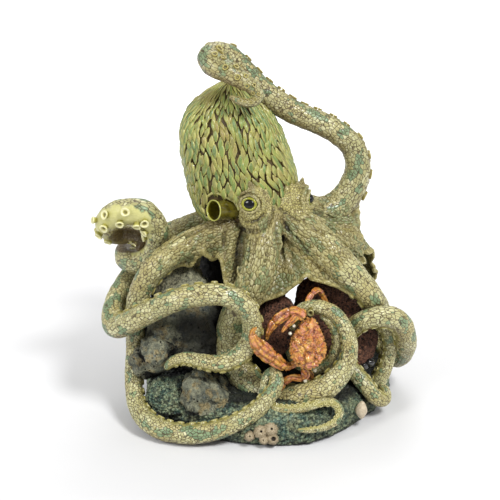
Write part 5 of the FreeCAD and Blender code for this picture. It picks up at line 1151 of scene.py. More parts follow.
    # painted shade: the skin is browner and darker close under the mantle, and near the free edges of the webs on the
    # left
    dm = np.hypot(V[:, 0] + 12, (V[:, 1] - 9) / 0.94) - 52.0
    brown_painted_shade = 0.62 * (1 - smoothstep(dm, -2, 30)) * smoothstep(V[:, 2], 184, 208) * (1 - face) + 0.42 * smoothstep(-lipd, -30, -6) * smoothstep(-V[:, 0], -60, -10) * 0.4
    brown_painted_shade = np.clip(brown_painted_shade, 0, 0.7)
    whole = make("skin_whole", V, [Q], {"rest": rest, "painted_shade": painted_shade, "lip": lip, "face": face, "brown_painted_shade": brown_painted_shade, "bare": bare, "place": V}, {"rest_c": corner.reshape(-1, 3)})
    def relief(g):
        e = g.voronoi(g.attr("rest"), 1.0, "DISTANCE_TO_EDGE", 0.85).outputs["Distance"]
        h1 = g.range(e, 0.0, 0.25, -0.00045, 0.00035)
        fe = g.voronoi(g.attr("place"), 0.40, "DISTANCE_TO_EDGE", 0.9).outputs["Distance"]
        h2 = g.range(fe, 0.0, 0.25, -0.00025, 0.0003)
        h = g.mix(g.attr("face", False), h1, h2)
        h = g.mix(g.attr("bare", False), h, 0.0)
        h = g.mix(g.attr("lip", False), h, 0.0)
        return g.math("ADD", h, g.math("MULTIPLY", g.math("SUBTRACT", g.noise(g.attr("place"), 0.08, 2.0, 0.5), 0.5), 0.0016))
    displace(whole, relief)
    me = whole.data
    n = len(me.vertices)
    co = np.zeros(n * 3, np.float32)
    me.vertices.foreach_get("co", co)
    co = co.reshape(-1, 3) / MM
    nor = np.zeros(n * 3, np.float32)
    me.vertices.foreach_get("normal", nor)
    nor = nor.reshape(-1, 3)
    bpy.data.objects.remove(whole)
    made = []
    first = True
    for key, sel in pieces.items():
        q = Q[sel]
        used, inv = np.unique(q, return_inverse=True)
        q = inv.reshape(-1, 4)
        ob = make("body_skin_" + key, co[used], [q], {"painted_shade": painted_shade[used], "lip": lip[used], "face": face[used], "brown_painted_shade": brown_painted_shade[used], "bare": bare[used], "painted_crease_shade": painted_crease_shade[used], "crest": worn_and_highlit[used], "place": V[used]},
                  {"rest_c": corner[sel].reshape(-1, 3)}, material=BODY_SKIN)
        ob.data.normals_split_custom_set_from_vertices(nor[used].tolist())
        made.append(ob)
    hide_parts("head", "brow_horns", *[w for w in WEBS])
    print("body faces", len(Q), "voxels", vox.n)
    return made


CRESTS = [
    [(20, -38, 208, 3.0), (30, -44, 196, 3.0), (46, -48, 184, 2.6), (62, -50, 170, 2.4)],
    [(44, -30, 206, 3.0), (58, -30, 196, 2.8), (74, -28, 186, 2.4), (92, -24, 176, 2.0)],
    [(38, -34, 204, 2.6), (54, -38, 190, 2.6), (70, -40, 176, 2.2), (84, -44, 162, 2.0)]]


# ------------------------------------------------------------------ mantle
def mantle_line():
    R = np.array([(z, x, y, r) for z, x, y, r in MANTLE_RINGS[::-1]], float)
    s = np.concatenate([[0], np.cumsum(np.hypot(np.diff(R[:, 0]), np.diff(R[:, 3])))]) + 4.6
    s = np.concatenate([[0.0], s])
    R = np.vstack([[340.4, -27.5, 11.0, 0.0], R])
    t = np.linspace(0, s[-1], 400)
    # smooth the ring table a little
    out = np.stack([np.interp(t, s, R[:, j]) for j in range(4)], 1)
    k = np.hanning(25)
    k /= k.sum()
    pad = np.vstack([2 * out[0] - out[12:0:-1], out, 2 * out[-1] - out[-2:-14:-1]])
    out = np.stack([np.convolve(pad[:, j], k, "valid") for j in range(4)], 1)
    out[0, 3] = 0.0
    return t, out


MT, MR = mantle_line()


def mantle_at(s, phi, h=0.0):
    z, x, y, r = [np.interp(s, MT, MR[:, j]) for j in range(4)]
    P = np.stack([x + r * np.cos(phi), y + MANTLE_DEPTH * r * np.sin(phi), z], -1)
    e = 0.8
    z2, x2, y2, r2 = [np.interp(s + e, MT, MR[:, j]) for j in range(4)]
    z1, x1, y1, r1 = [np.interp(s - e, MT, MR[:, j]) for j in range(4)]
    ds = np.stack([x2 - x1 + (r2 - r1) * np.cos(phi), y2 - y1 + MANTLE_DEPTH * (r2 - r1) * np.sin(phi), z2 - z1], -1)
    dp = np.stack([-np.sin(phi), MANTLE_DEPTH * np.cos(phi), np.zeros_like(phi)], -1)
    n = np.cross(dp, ds)
    n /= np.maximum(np.linalg.norm(n, axis=-1), 1e-9)[..., None]
    n = np.where(((P - np.array([-20.0, 10.0, 255.0])) * n).sum(-1)[..., None] < 0, -n, n)
    return P + n * np.asarray(h)[..., None], n


def mantle_base_shader(g):
    place = g.attr("place")
    n = g.noise(place, 0.35, 4.0, 0.6)
    col = g.ramp(n, [(0.3, srgb(50, 38, 17)), (0.5, srgb(76, 60, 28)), (0.7, srgb(104, 88, 44))])
    return col, g.range(n, 0.3, 0.7, 0.5, 0.7), g.math("MULTIPLY", n, 0.0006)


def leaf_shader(g):
    place = g.attr("place")
    edge, tint = g.attr("edge", False), g.attr("tint", False)
    core = g.ramp(tint, [(0.0, srgb(88, 112, 52)), (0.25, srgb(116, 138, 64)), (0.5, srgb(142, 152, 72)), (0.75, srgb(158, 158, 80)),
                         (0.92, srgb(150, 138, 76)), (1.0, srgb(104, 122, 70))])
    n = g.noise(place, 0.05, 2.0, 0.5)
    core = g.mixc(g.range(n, 0.5, 0.64, 0.0, 0.6), core, srgb(84, 120, 72))
    core = g.mixc(g.range(n, 0.47, 0.36, 0.0, 0.50), core, srgb(128, 106, 52))
    fine = g.noise(place, 1.1, 4.0, 0.65)
    core = g.mixc(g.range(fine, 0.45, 0.75, 0.0, 0.4), core, srgb(180, 176, 100))
    rimc = g.mixc(g.noise(place, 0.3, 2.0, 0.5), srgb(176, 172, 84), srgb(226, 220, 150))
    col = g.mixc(g.range(edge, 0.26, 0.56, 0.0, 0.82), core, rimc)
    col = g.mixc(g.range(edge, 0.66, 0.86, 0.0, 0.95), col, srgb(64, 46, 19))
    col = stain_and_painted_shade(g, col)
    h = g.math("MULTIPLY", fine, 0.0004)
    return col, g.range(fine, 0.3, 0.7, 0.26, 0.42), h


MANTLE_BASE = material("mantle_ground", mantle_base_shader)
LEAF_GLAZE = material("leaf_glaze", leaf_shader, coat=0.45, coat_rough=0.12)
LIP_ARC = [(-55.5, -22.0, 212.0), (-54.6, -22.5, 219.0), (-52.6, -25.3, 225.5), (-48.3, -29.9, 232.0), (-44.1, -33.3, 235.9), (-38.9, -36.1, 236.6),
           (-34.9, -37.7, 235.3), (-29.8, -39.2, 233.2), (-24.7, -40.3, 230.9), (-20.0, -41.5, 227.0), (-17.6, -42.0, 221.0)]


def mantle():
    ns, nf = 150, 240
    s = np.linspace(0.4, MT[-1], ns)
    ph = np.linspace(0, 2 * np.pi, nf, endpoint=False)
    S, PH = np.meshgrid(s, ph, indexing="ij")
    P, _ = mantle_at(S, PH, np.full(S.shape, -0.7))
    V = P.reshape(-1, 3)
    top = mantle_at(np.array([0.0]), np.array([0.0]), np.array([-0.7]))[0]
    V = np.vstack([V, top])
    j = np.arange(nf)
    capf = np.stack([np.full(nf, ns * nf), j, (j + 1) % nf], 1)
    base = make("mantle_ground", V, [grid_faces(ns, nf, flip=True), capf], {"place": V}, material=MANTLE_BASE,
                replaces=["mantle"])
    displace(base, lambda g: g.math("MULTIPLY", g.math("SUBTRACT", g.noise(g.attr("place"), 0.35, 3.0, 0.6), 0.6), 0.0012))
    rnd = random.Random(7)
    lip = np.array(LIP_ARC)
    lipc = np.array([-37.0, -34.0, 219.0])
    us = np.array([-1.0, -0.92, -0.80, -0.60, -0.30, 0.0, 0.30, 0.60, 0.80, 0.92, 1.0])
    uh = np.array([-1.5, -0.2, 0.95, 1.85, 2.45, 2.6, 2.45, 1.85, 0.95, -0.2, -1.5])
    ue = np.array([1.0, 0.92, 0.70, 0.46, 0.12, 0.0, 0.12, 0.46, 0.70, 0.92, 1.0])
    vs = np.array([-1.0, -0.94, -0.84, -0.68, -0.45, -0.2, 0.05, 0.3, 0.52, 0.72, 0.86, 0.95, 1.0])
    parts = []
    row, sr = 0, 5.0
    while sr < MT[-1] + 4:
        r = float(np.interp(sr, MT, MR[:, 3]))
        f = float(smoothstep(sr, 8, 60))
        n = 48 if r > 21.0 else 24
        wid = 2 * math.pi * r / n
        pitch = 8.0 + 1.8 * (1 - f)
        for k in range(n):
            phi = 2 * math.pi * (k + 0.5 * (row % 2)) / n + rnd.gauss(0, 0.11) * wid / max(r, 6)
            s0 = sr + rnd.gauss(0, 1.5)
            half_l = pitch * (0.95 + rnd.gauss(0, 0.13))
            half_w = 0.5 * wid * (0.82 + 0.26 * rnd.random())
            a = math.radians(rnd.gauss(0, 6.0))
            lift = rnd.random() * 1.3
            plump = min(1.0, wid / 6.0) * (0.75 + 0.4 * rnd.random())
            tip = 1.0 + 0.25 * rnd.random()
            U, W = np.meshgrid(us, vs, indexing="ij")
            wv = np.clip(1 - np.abs(W) ** (1.12 * tip), 0, 1) ** 0.86 * half_w + 0.06
            bend = rnd.gauss(0, 0.35)
            x = U * wv + bend * (1 - W ** 2)
            y = W * half_l
            hgt = np.repeat(uh[:, None], len(vs), 1)
            taper = np.clip(1 - np.abs(W) ** 3, 0, 1)
            hgt = np.where(hgt > 0, plump * hgt * (0.25 + 0.75 * taper) + 0.35 * W + lift * taper, hgt)
            hgt = np.where(np.abs(W) > 0.99, np.minimum(hgt, -0.6), hgt)
            xx, yy = x * math.cos(a) - y * math.sin(a), x * math.sin(a) + y * math.cos(a)
            ss = s0 + yy
            rr = np.maximum(np.interp(ss, MT, MR[:, 3]), 2.5)
            ph = phi + xx / rr
            # the rows and columns wander
            flow = float(smoothstep(sr, 6, 40))
            ss, ph = ss + flow * (2.4 * np.sin(3 * ph + ss / 17.0) + 1.6 * np.sin(7 * ph + 2.0)), ph + flow * (0.046 * np.sin(ss / 15.0 + 2 * ph) + 0.020 * np.sin(ss / 6.0 - 5 * ph))
            ss = np.clip(ss, 0.5, MT[-1])
            hgt = hgt + 0.9 * np.sin(9 * ph + 1.7 * np.sin(ss / 31.0)) * smoothstep(ss, 10, 50)
            Pn, _ = mantle_at(ss, ph, hgt)
            v = Pn.reshape(-1, 3)
            c = v.mean(0)
            # the opening above the siphon stays bare, and none hang below the edge in front
            if ((c - lipc) ** 2 / np.array([18.0, 23.0, 18.5]) ** 2).sum() < 1 and c[1] < 0:
                continue
            cu, cv, _ = picture(c)
            if c[1] < 0 and 226 < cu < 262 and cv > 207:
                continue
            if np.ptp(ss) < 3.0:
                continue
            edge = np.maximum(np.repeat(ue[:, None], len(vs), 1), smoothstep(np.abs(W), 0.62, 0.96) * 0.95)
            edge = edge.reshape(-1)
            tint = np.full(len(v), rnd.random())
            parts.append((v, [grid_faces(len(us), len(vs), wrap=False, flip=False)], {"place": v, "edge": edge, "tint": tint}))
        sr += pitch
        row += 1
    V, F, A = join(parts)
    print("leaves", len(parts), "faces", sum(len(f) for f in F))
    leaves = make("mantle_leaves", V, F, A, material=LEAF_GLAZE)
    # the rolled edge over the siphon
    C, s, _ = spline([(*p, 1.5) for p in LIP_ARC], 0.5)
    T, N, B = transport(C[:, :3])
    nt = 18
    th = np.linspace(0, 2 * np.pi, nt, endpoint=False)
    rr = C[:, 3] * (1 + 0.22 * np.sin(s / 1.5) * np.sin(s / 4.0))
    V = C[:, None, :3] + (N[:, None] * np.cos(th)[None, :, None] + B[:, None] * np.sin(th)[None, :, None]) * rr[:, None, None]
    V = V.reshape(-1, 3)
    m = len(C)
    ends = np.array([list(range(nt))[::-1], [(m - 1) * nt + k for k in range(nt)]])
    make("mantle_lip", V, [grid_faces(m, nt), ends], {"place": V, "edge": np.full(len(V), 0.7), "tint": np.full(len(V), 0.5)},
         material=LEAF_GLAZE)


# ------------------------------------------------------------------ siphon and eyes
def siphon_shader(g):
    place, rim = g.attr("place"), g.attr("rim", False)
    n = g.noise(place, 0.16, 3.0, 0.5)
    col = g.ramp(n, [(0.3, srgb(50, 45, 5)), (0.5, srgb(76, 69, 10)), (0.7, srgb(98, 90, 22))])
    col = g.mixc(g.range(rim, 0.1, 0.9), col, srgb(170, 170, 80))
    col = g.mixc(g.range(rim, -0.1, -1.0), col, srgb(92, 86, 18))
    col = stain_and_painted_shade(g, col, srgb(30, 27, 5), 0.72, 0.35)
    return col, None, g.math("MULTIPLY", n, 0.0006)


SIPHON_GLAZE = material("siphon_glaze", siphon_shader, roughness=0.16, coat=0.6, coat_rough=0.06)


def siphon():
    ax = unit(SIPHON_AXIS)
    m = np.array(SIPHON_MOUTH)
    x = unit(np.cross(ax, (0, 0, 1.0)))
    y = np.cross(ax, x)
    prof = [(11.0, -36.0, 0.0), (11.0, -28.0, 0.0), (10.9, -20.0, 0.0), (10.7, -12.0, 0.0), (10.6, -5.0, 0.0), (10.9, -1.2, 0.15), (11.1, -0.3, 0.8),
            (10.95, 0.25, 1.0), (10.5, 0.45, 1.0), (10.0, 0.2, 1.0), (9.7, -0.5, 0.8), (9.4, -2.0, 0.0), (9.0, -6.0, -0.4), (8.5, -13.0, -0.8),
            (7.9, -22.0, -1.0), (7.2, -29.0, -1.0)]
    P, _, _ = spline([(r, a, 0.0, k) for r, a, k in prof], 0.6)
    nt = 96
    th = np.linspace(0, 2 * np.pi, nt, endpoint=False)
    wob = 1 + 0.012 * np.sin(2 * th + 1) + 0.008 * np.sin(5 * th)
    V = (m + ax * P[:, 1, None])[:, None, :] + (x[None] * np.cos(th)[:, None] + y[None] * np.sin(th)[:, None])[None] * (P[:, 0, None] * wob)[..., None]
    V = V.reshape(-1, 3)
    rim = np.repeat(P[:, 3], nt)
    n = len(P)
    end = np.array([[(n - 1) * nt + k for k in range(nt)]])
    return make("siphon_tube", V, [grid_faces(n, nt, flip=False), end], {"place": V, "rim": rim},
                material=SIPHON_GLAZE, replaces=["siphon"])


def iris_shader(g):
    r = g.attr("rim", False)
    n = g.noise(g.attr("place"), 0.9, 3.0, 0.6)
    col = g.ramp(n, [(0.3, srgb(116, 116, 22)), (0.6, srgb(158, 158, 48)), (0.8, srgb(190, 190, 104))])
    col = g.mixc(g.range(r, 0.8, 1.0), col, srgb(84, 84, 14))
    return col, None, g.math("MULTIPLY", n, 0.0002)


def pupil_shader(g):
    n = g.noise(g.attr("place"), 0.8, 3.0, 0.6)
    col = g.ramp(n, [(0.3, srgb(6, 6, 7)), (0.8, srgb(16, 18, 22))])
    return col, g.range(n, 0.3, 0.8, 0.03, 0.07), None


IRIS_GLAZE = material("iris_glaze", iris_shader, roughness=0.12, coat=0.8, coat_rough=0.04)
PUPIL_GLASS = material("pupil_glass", pupil_shader, coat=0.15, coat_rough=0.03, spec=0.35)


def eyes():
    rims = []
    for side in EYES:
        c, g, u, rt = eye_frame(side)
        nt = 72
        th = np.linspace(0, 2 * np.pi, nt, endpoint=False)
        o = c + g * 2.3
        # iris ring: a rolled ellipse round the pupil
        a = np.linspace(-0.5 * np.pi, 1.5 * np.pi, 20, endpoint=False)
        R, Hh = 6.75 + 1.35 * np.cos(a), 1.3 + 0.9 * np.sin(a)
        V = o + (rt[None] * np.cos(th)[:, None])[None] * R[:, None, None] + (u[None] * np.sin(th)[:, None])[None] * (R * 0.86)[:, None, None] + g * Hh[:, None, None]
        V = V.reshape(-1, 3)
        n = len(R)
        F = grid_faces(n, nt)
        wrap = np.stack([(n - 1) * nt + np.arange(nt), (n - 1) * nt + (np.arange(nt) + 1) % nt, (np.arange(nt) + 1) % nt, np.arange(nt)], 1)
        rims.append((V, [F, wrap], {"place": V, "rim": np.repeat(np.clip((R - 6.75) / 1.35, 0, 1), nt)}))
        # pupil: a polished dome
        rho = np.linspace(0.08, 1, 18)
        hh = 1.0 + (1.9 if side == "left" else 4.2) * np.sqrt(np.clip(1 - rho ** 2, 0, 1))
        V = o + (rt[None] * np.cos(th)[:, None])[None] * (5.7 * rho)[:, None, None] + (u[None] * np.sin(th)[:, None])[None] * (4.75 * rho)[:, None, None] + g * hh[:, None, None]
        V = np.vstack([V.reshape(-1, 3), o + g * (1.0 + (1.9 if side == "left" else 4.2)), o - rt * 0])
        n = len(rho)
        j = np.arange(nt)
        cap = np.vstack([np.stack([np.full(nt, n * nt), j, (j + 1) % nt], 1), np.stack([np.full(nt, n * nt + 1), (n - 1) * nt + (j + 1) % nt, (n - 1) * nt + j], 1)])
        make("eye_" + side + "_glass", V, [grid_faces(n, nt, flip=True), cap], {"place": V}, material=PUPIL_GLASS, replaces=["eye_" + side])
    V, F, A = join(rims)
    make("eye_rims_glazed", V, F, A, material=IRIS_GLAZE, replaces=["eye_rims"])


# ------------------------------------------------------------------ rocks
def ico(level):
    t = (1 + 5 ** 0.5) / 2
    V = [(-1, t, 0), (1, t, 0), (-1, -t, 0), (1, -t, 0), (0, -1, t), (0, 1, t), (0, -1, -t), (0, 1, -t), (t, 0, -1), (t, 0, 1), (-t, 0, -1), (-t, 0, 1)]
    F = [(0, 11, 5), (0, 5, 1), (0, 1, 7), (0, 7, 10), (0, 10, 11), (1, 5, 9), (5, 11, 4), (11, 10, 2), (10, 7, 6), (7, 1, 8),
         (3, 9, 4), (3, 4, 2), (3, 2, 6), (3, 6, 8), (3, 8, 9), (4, 9, 5), (2, 4, 11), (6, 2, 10), (8, 6, 7), (9, 8, 1)]
    V, F = np.array(V, float), np.array(F)
    V /= np.linalg.norm(V, axis=1)[:, None]
    for _ in range(level):
        E = np.sort(np.vstack([F[:, [0, 1]], F[:, [1, 2]], F[:, [2, 0]]]), axis=1)
        U, inv = np.unique(E, axis=0, return_inverse=True)
        inv = inv.ravel() + len(V)
        M = V[U[:, 0]] + V[U[:, 1]]
        V = np.vstack([V, M / np.linalg.norm(M, axis=1)[:, None]])
        k = len(F)
        a, b, c = inv[:k], inv[k:2 * k], inv[2 * k:]
        F = np.vstack([np.stack([F[:, 0], a, c], 1), np.stack([F[:, 1], b, a], 1), np.stack([F[:, 2], c, b], 1), np.stack([a, b, c], 1)])
    return V, F


ICO = {k: ico(k) for k in (4, 5, 6)}


def blob(entry, level, floor=None, soft=8.0):
    (cx, cy, cz), front, back, off = entry
    D, F = ICO[level]
    a = np.degrees([math.atan2(q, p) for p, q in off])
    r = np.array([math.hypot(p, q) for p, q in off])
    o = np.argsort(a)
    grid = np.arange(-180, 180, 1.0)
    rho = np.interp(grid, a[o], r[o], period=360)
    k = np.exp(-0.5 * (np.arange(-24, 25) / soft) ** 2)
    k /= k.sum()
    rho = np.convolve(np.concatenate([rho[-24:], rho, rho[:24]]), k, "valid")
    w = D[:, 2]
    phi = np.degrees(np.arctan2(D[:, 1], D[:, 0]))
    rr = np.interp(phi, grid, rho, period=360) * np.sqrt(np.clip(1 - w ** 2, 0, 1)) ** 0.8
    d = np.where(w > 0, front, back) * np.sign(w) * np.abs(w) ** 0.95
    V = np.array([cx, cy, cz]) + RIGHT * (np.cos(np.radians(phi)) * rr)[:, None] + UP * (np.sin(np.radians(phi)) * rr)[:, None] + OUT * d[:, None]
    if floor is not None:
        V[:, 2] = np.maximum(V[:, 2], floor)
    return V, F


def grey_field(g, place, fine=True):
    """Broken stone: facets, hollows, grain and a few round pits, in metres."""
    warp = g.vmath("ADD", place, g.vmath("SCALE", g.noise(place, 0.06, 2.0, 0.5, colour=True), scale=9.0))
    facet = g.voronoi(warp, 0.062, "F1", 1.0).outputs["Distance"]
    big = g.math("MULTIPLY", g.math("SUBTRACT", 0.45, facet), 0.0085)
    low = g.math("MULTIPLY", g.math("SUBTRACT", g.noise(place, 0.045, 3.0, 0.55), 0.5), 0.0095)
    mid = g.math("MULTIPLY", g.math("SUBTRACT", g.noise(place, 0.20, 5.0, 0.65), 0.5), 0.0040)
    pits = g.voronoi(place, 0.24, "F1", 1.0)
    sel = g.new("ShaderNodeSeparateXYZ")
    g.put(sel.inputs[0], pits.outputs["Color"])
    some = g.range(sel.outputs[0], 0.50, 0.56)
    hole = g.math("MULTIPLY", g.range(pits.outputs["Distance"], 0.15, 0.27, 1.0, 0.0), some)
    h = g.math("ADD", g.math("ADD", big, low), mid)
    return g.math("SUBTRACT", h, g.math("MULTIPLY", hole, 0.0020)), hole


def grey_shader(g):
    place = g.attr("place")
    h, hole = grey_field(g, place)
    n = g.noise(place, 0.12, 5.0, 0.65)
    col = g.ramp(n, [(0.32, srgb(58, 62, 54)), (0.45, srgb(104, 108, 92)), (0.58, srgb(150, 150, 124)), (0.72, srgb(88, 94, 84))])
    och = g.noise(g.vmath("ADD", place, (40.0, 7.0, 3.0)), 0.09, 4.0, 0.6)
    col = g.mixc(g.range(och, 0.52, 0.62, 0.0, 0.72), col, srgb(152, 132, 84))
    blue = g.noise(g.vmath("ADD", place, (9.0, 70.0, 21.0)), 0.13, 3.0, 0.6)
    col = g.mixc(g.range(blue, 0.56, 0.66, 0.0, 0.52), col, srgb(62, 82, 96))
    fine = g.noise(place, 0.48, 6.0, 0.78)
    col = g.mixc(g.range(fine, 0.51, 0.60, 0.0, 0.72), col, srgb(34, 35, 29))
    col = g.mixc(g.range(fine, 0.46, 0.38, 0.0, 0.60), col, srgb(190, 188, 156))
    col = g.mixc(g.math("MULTIPLY", hole, 0.92), col, srgb(10, 10, 9))
    col = stain_and_painted_shade(g, col, srgb(9, 9, 8), 0.98, 0.60, 0.02)
    # painted light and shade: the stone is painted paler high up where light falls on it, and painted near black behind
    # the front arms where it stands in the dark of the stack
    at = g.new("ShaderNodeSeparateXYZ")
    g.put(at.inputs[0], place)
    pale = g.math("MULTIPLY", g.range(at.outputs[2], 126.0, 142.0), g.range(fine, 0.56, 0.44, 0.1, 0.6))
    col = g.mixc(pale, col, srgb(196, 192, 156))
    deep = g.math("MULTIPLY", g.range(at.outputs[1], -84.0, -74.0), g.range(at.outputs[2], 128.0, 110.0))
    deep = g.math("MULTIPLY", deep, g.range(at.outputs[0], -92.0, -74.0, 0.15, 1.0))
    col = g.mixc(g.math("MULTIPLY", deep, g.range(at.outputs[1], 60.0, 40.0, 0.0, 0.93)), col, srgb(14, 14, 11))
    bump = g.math("ADD", g.math("MULTIPLY", fine, -0.0022), g.math("MULTIPLY", g.noise(place, 2.6, 3.0, 0.6), 0.0005))
    bump = g.math("SUBTRACT", bump, g.math("MULTIPLY", hole, 0.0012))
    return col, g.range(fine, 0.3, 0.7, 0.45, 0.8), bump


def worm_field(g, place, depth, scale):
    """Spongy stone: a net of pits."""
    warp = g.vmath("ADD", place, g.vmath("SCALE", g.noise(place, 0.35, 2.0, 0.5, colour=True), scale=2.4))
    a = g.noise(warp, scale, 3.0, 0.6)
    pit = g.range(a, 0.37, 0.46, 1.0, 0.0)
    v = g.voronoi(warp, scale * 0.9, "DISTANCE_TO_EDGE", 1.0).outputs["Distance"]
    crack = g.range(v, 0.02, 0.10, 0.6, 0.0)
    pit = g.math("MAXIMUM", pit, crack)
    big = g.math("MULTIPLY", g.math("SUBTRACT", g.noise(place, 0.045, 3.0, 0.5), 0.5), 0.008)
    mid = g.math("MULTIPLY", g.math("SUBTRACT", g.noise(place, 0.20, 4.0, 0.6), 0.5), 0.003)
    return g.math("SUBTRACT", g.math("ADD", big, mid), g.math("MULTIPLY", pit, depth)), pit


def green_shader(g):
    place = g.attr("place")
    h, pit = worm_field(g, place, 0.0016, 0.30)
    n = g.noise(place, 0.10, 4.0, 0.6)
    col = g.ramp(n, [(0.32, srgb(58, 88, 82)), (0.44, srgb(92, 118, 98)), (0.56, srgb(140, 150, 114)), (0.70, srgb(74, 106, 100))])
    lit = g.noise(place, 0.42, 5.0, 0.65)
    col = g.mixc(g.range(lit, 0.49, 0.64, 0.0, 0.62), col, srgb(176, 184, 146))
    och = g.noise(g.vmath("ADD", place, (31.0, 5.0, 9.0)), 0.06, 3.0, 0.6)
    col = g.mixc(g.range(och, 0.54, 0.66, 0.0, 0.5), col, srgb(130, 122, 80))
    deep = g.noise(g.vmath("ADD", place, (3.0, 55.0, 9.0)), 0.16, 4.0, 0.65)
    col = g.mixc(g.range(deep, 0.52, 0.62, 0.0, 0.7), col, srgb(40, 58, 56))
    col = g.mixc(g.math("MULTIPLY", pit, 0.86), col, srgb(16, 24, 22))
    at = g.new("ShaderNodeSeparateXYZ")
    g.put(at.inputs[0], place)
    # painted shade: the top of the base behind the front arms is painted near black
    under = g.math("MULTIPLY", g.range(at.outputs[2], 30.0, 35.0), g.math("MULTIPLY", g.range(at.outputs[0], -62.0, -54.0), g.range(at.outputs[1], -122.0, -110.0)))
    col = g.mixc(g.math("MULTIPLY", under, 0.92), col, srgb(12, 13, 9))
    col = stain_and_painted_shade(g, col, srgb(10, 14, 12), 0.97, 0.7, 0.08)
    bump = g.math("ADD", g.math("MULTIPLY", pit, -0.0012), g.math("MULTIPLY", lit, 0.0009))
    return col, g.range(lit, 0.3, 0.7, 0.40, 0.65), bump


def red_shader(g):
    place = g.attr("place")
    h, pit = worm_field(g, place, 0.0014, 0.42)
    n = g.noise(place, 0.14, 4.0, 0.6)
    col = g.ramp(n, [(0.3, srgb(66, 38, 28)), (0.5, srgb(108, 68, 50)), (0.7, srgb(140, 94, 70))])
    fine = g.noise(place, 1.0, 4.0, 0.7)
    col = g.mixc(g.range(fine, 0.5, 0.66, 0.0, 0.65), col, srgb(170, 126, 96))
    col = g.mixc(g.math("MULTIPLY", pit, 0.92), col, srgb(16, 9, 7))
    col = stain_and_painted_shade(g, col, srgb(10, 6, 5), 0.96, 0.5, -0.04)
    bump = g.math("ADD", g.math("MULTIPLY", pit, -0.0011), g.math("MULTIPLY", fine, 0.0009))
    return col, g.range(fine, 0.3, 0.7, 0.6, 0.85), bump


# near-black stone: painted shade for the rock deep in the stack
def shade_black_shader(g):
    place = g.attr("place")
    n = g.noise(place, 0.16, 5.0, 0.65)
    col = g.ramp(n, [(0.35, srgb(8, 8, 8)), (0.55, srgb(18, 16, 14)), (0.75, srgb(34, 30, 25))])
    col = stain_and_painted_shade(g, col, srgb(5, 5, 4))
    return col, g.range(n, 0.3, 0.7, 0.6, 0.85), g.math("MULTIPLY", n, 0.002)


GREY_ROCK = material("grey_rock", grey_shader)
GREEN_ROCK = material("green_rock", green_shader)
RED_ROCK = material("red_rock", red_shader)
SHADE_BLACK_ROCK = material("dark_rock", shade_black_shader)
TOP = 37.0
FLOORS = {"grey_rock_tall": TOP, "grey_rock_pitted": TOP, "grey_rock_mid": None, "grey_rock_ledge": TOP - 3,
          "green_rock_left": 22.0, "grey_boulder_front": 27.0, "grey_rock_small": TOP - 2,
          "red_rock_left": TOP - 2, "red_rock_right": TOP - 2, "core_rock": TOP, "red_rock_rear": TOP - 4, "grey_rock_rear": TOP - 4}


def rocks():
    for name, entry in ROCKS.items():
        big = name in ("grey_rock_tall", "core_rock", "red_rock_right", "green_rock_left", "grey_boulder_front", "grey_rock_rear", "red_rock_rear")
        V, F = blob(entry, 6 if big else 5, FLOORS[name])
        if name.startswith("grey"):
            mat, slot, field = GREY_ROCK, "grey_rock", lambda g: grey_field(g, g.attr("place"))[0]
        elif name.startswith("green"):
            mat, slot, field = GREEN_ROCK, "green_rock", lambda g: worm_field(g, g.attr("place"), 0.0022, 0.34)[0]
        elif name.startswith("red"):
            mat, slot, field = RED_ROCK, "red_rock", lambda g: worm_field(g, g.attr("place"), 0.0020, 0.42)[0]
        else:
            mat, slot = SHADE_BLACK_ROCK, "dark_rock"
            field = lambda g: g.math("MULTIPLY", g.math("SUBTRACT", g.noise(g.attr("place"), 0.1, 5.0, 0.6), 0.5), 0.006)
        ob = make(name + "_stone", V, [F], {"place": V}, material=mat, replaces=[name])
        displace(ob, field)
        me = ob.data
        co = np.zeros(len(me.vertices) * 3, np.float32)
        me.vertices.foreach_get("co", co)
        co = co.reshape(-1, 3)
        floor = FLOORS[name]
        if floor is not None:
            co[:, 2] = np.maximum(co[:, 2], (floor - 2.0) * MM)
            me.vertices.foreach_set("co", co.ravel())
            me.update()


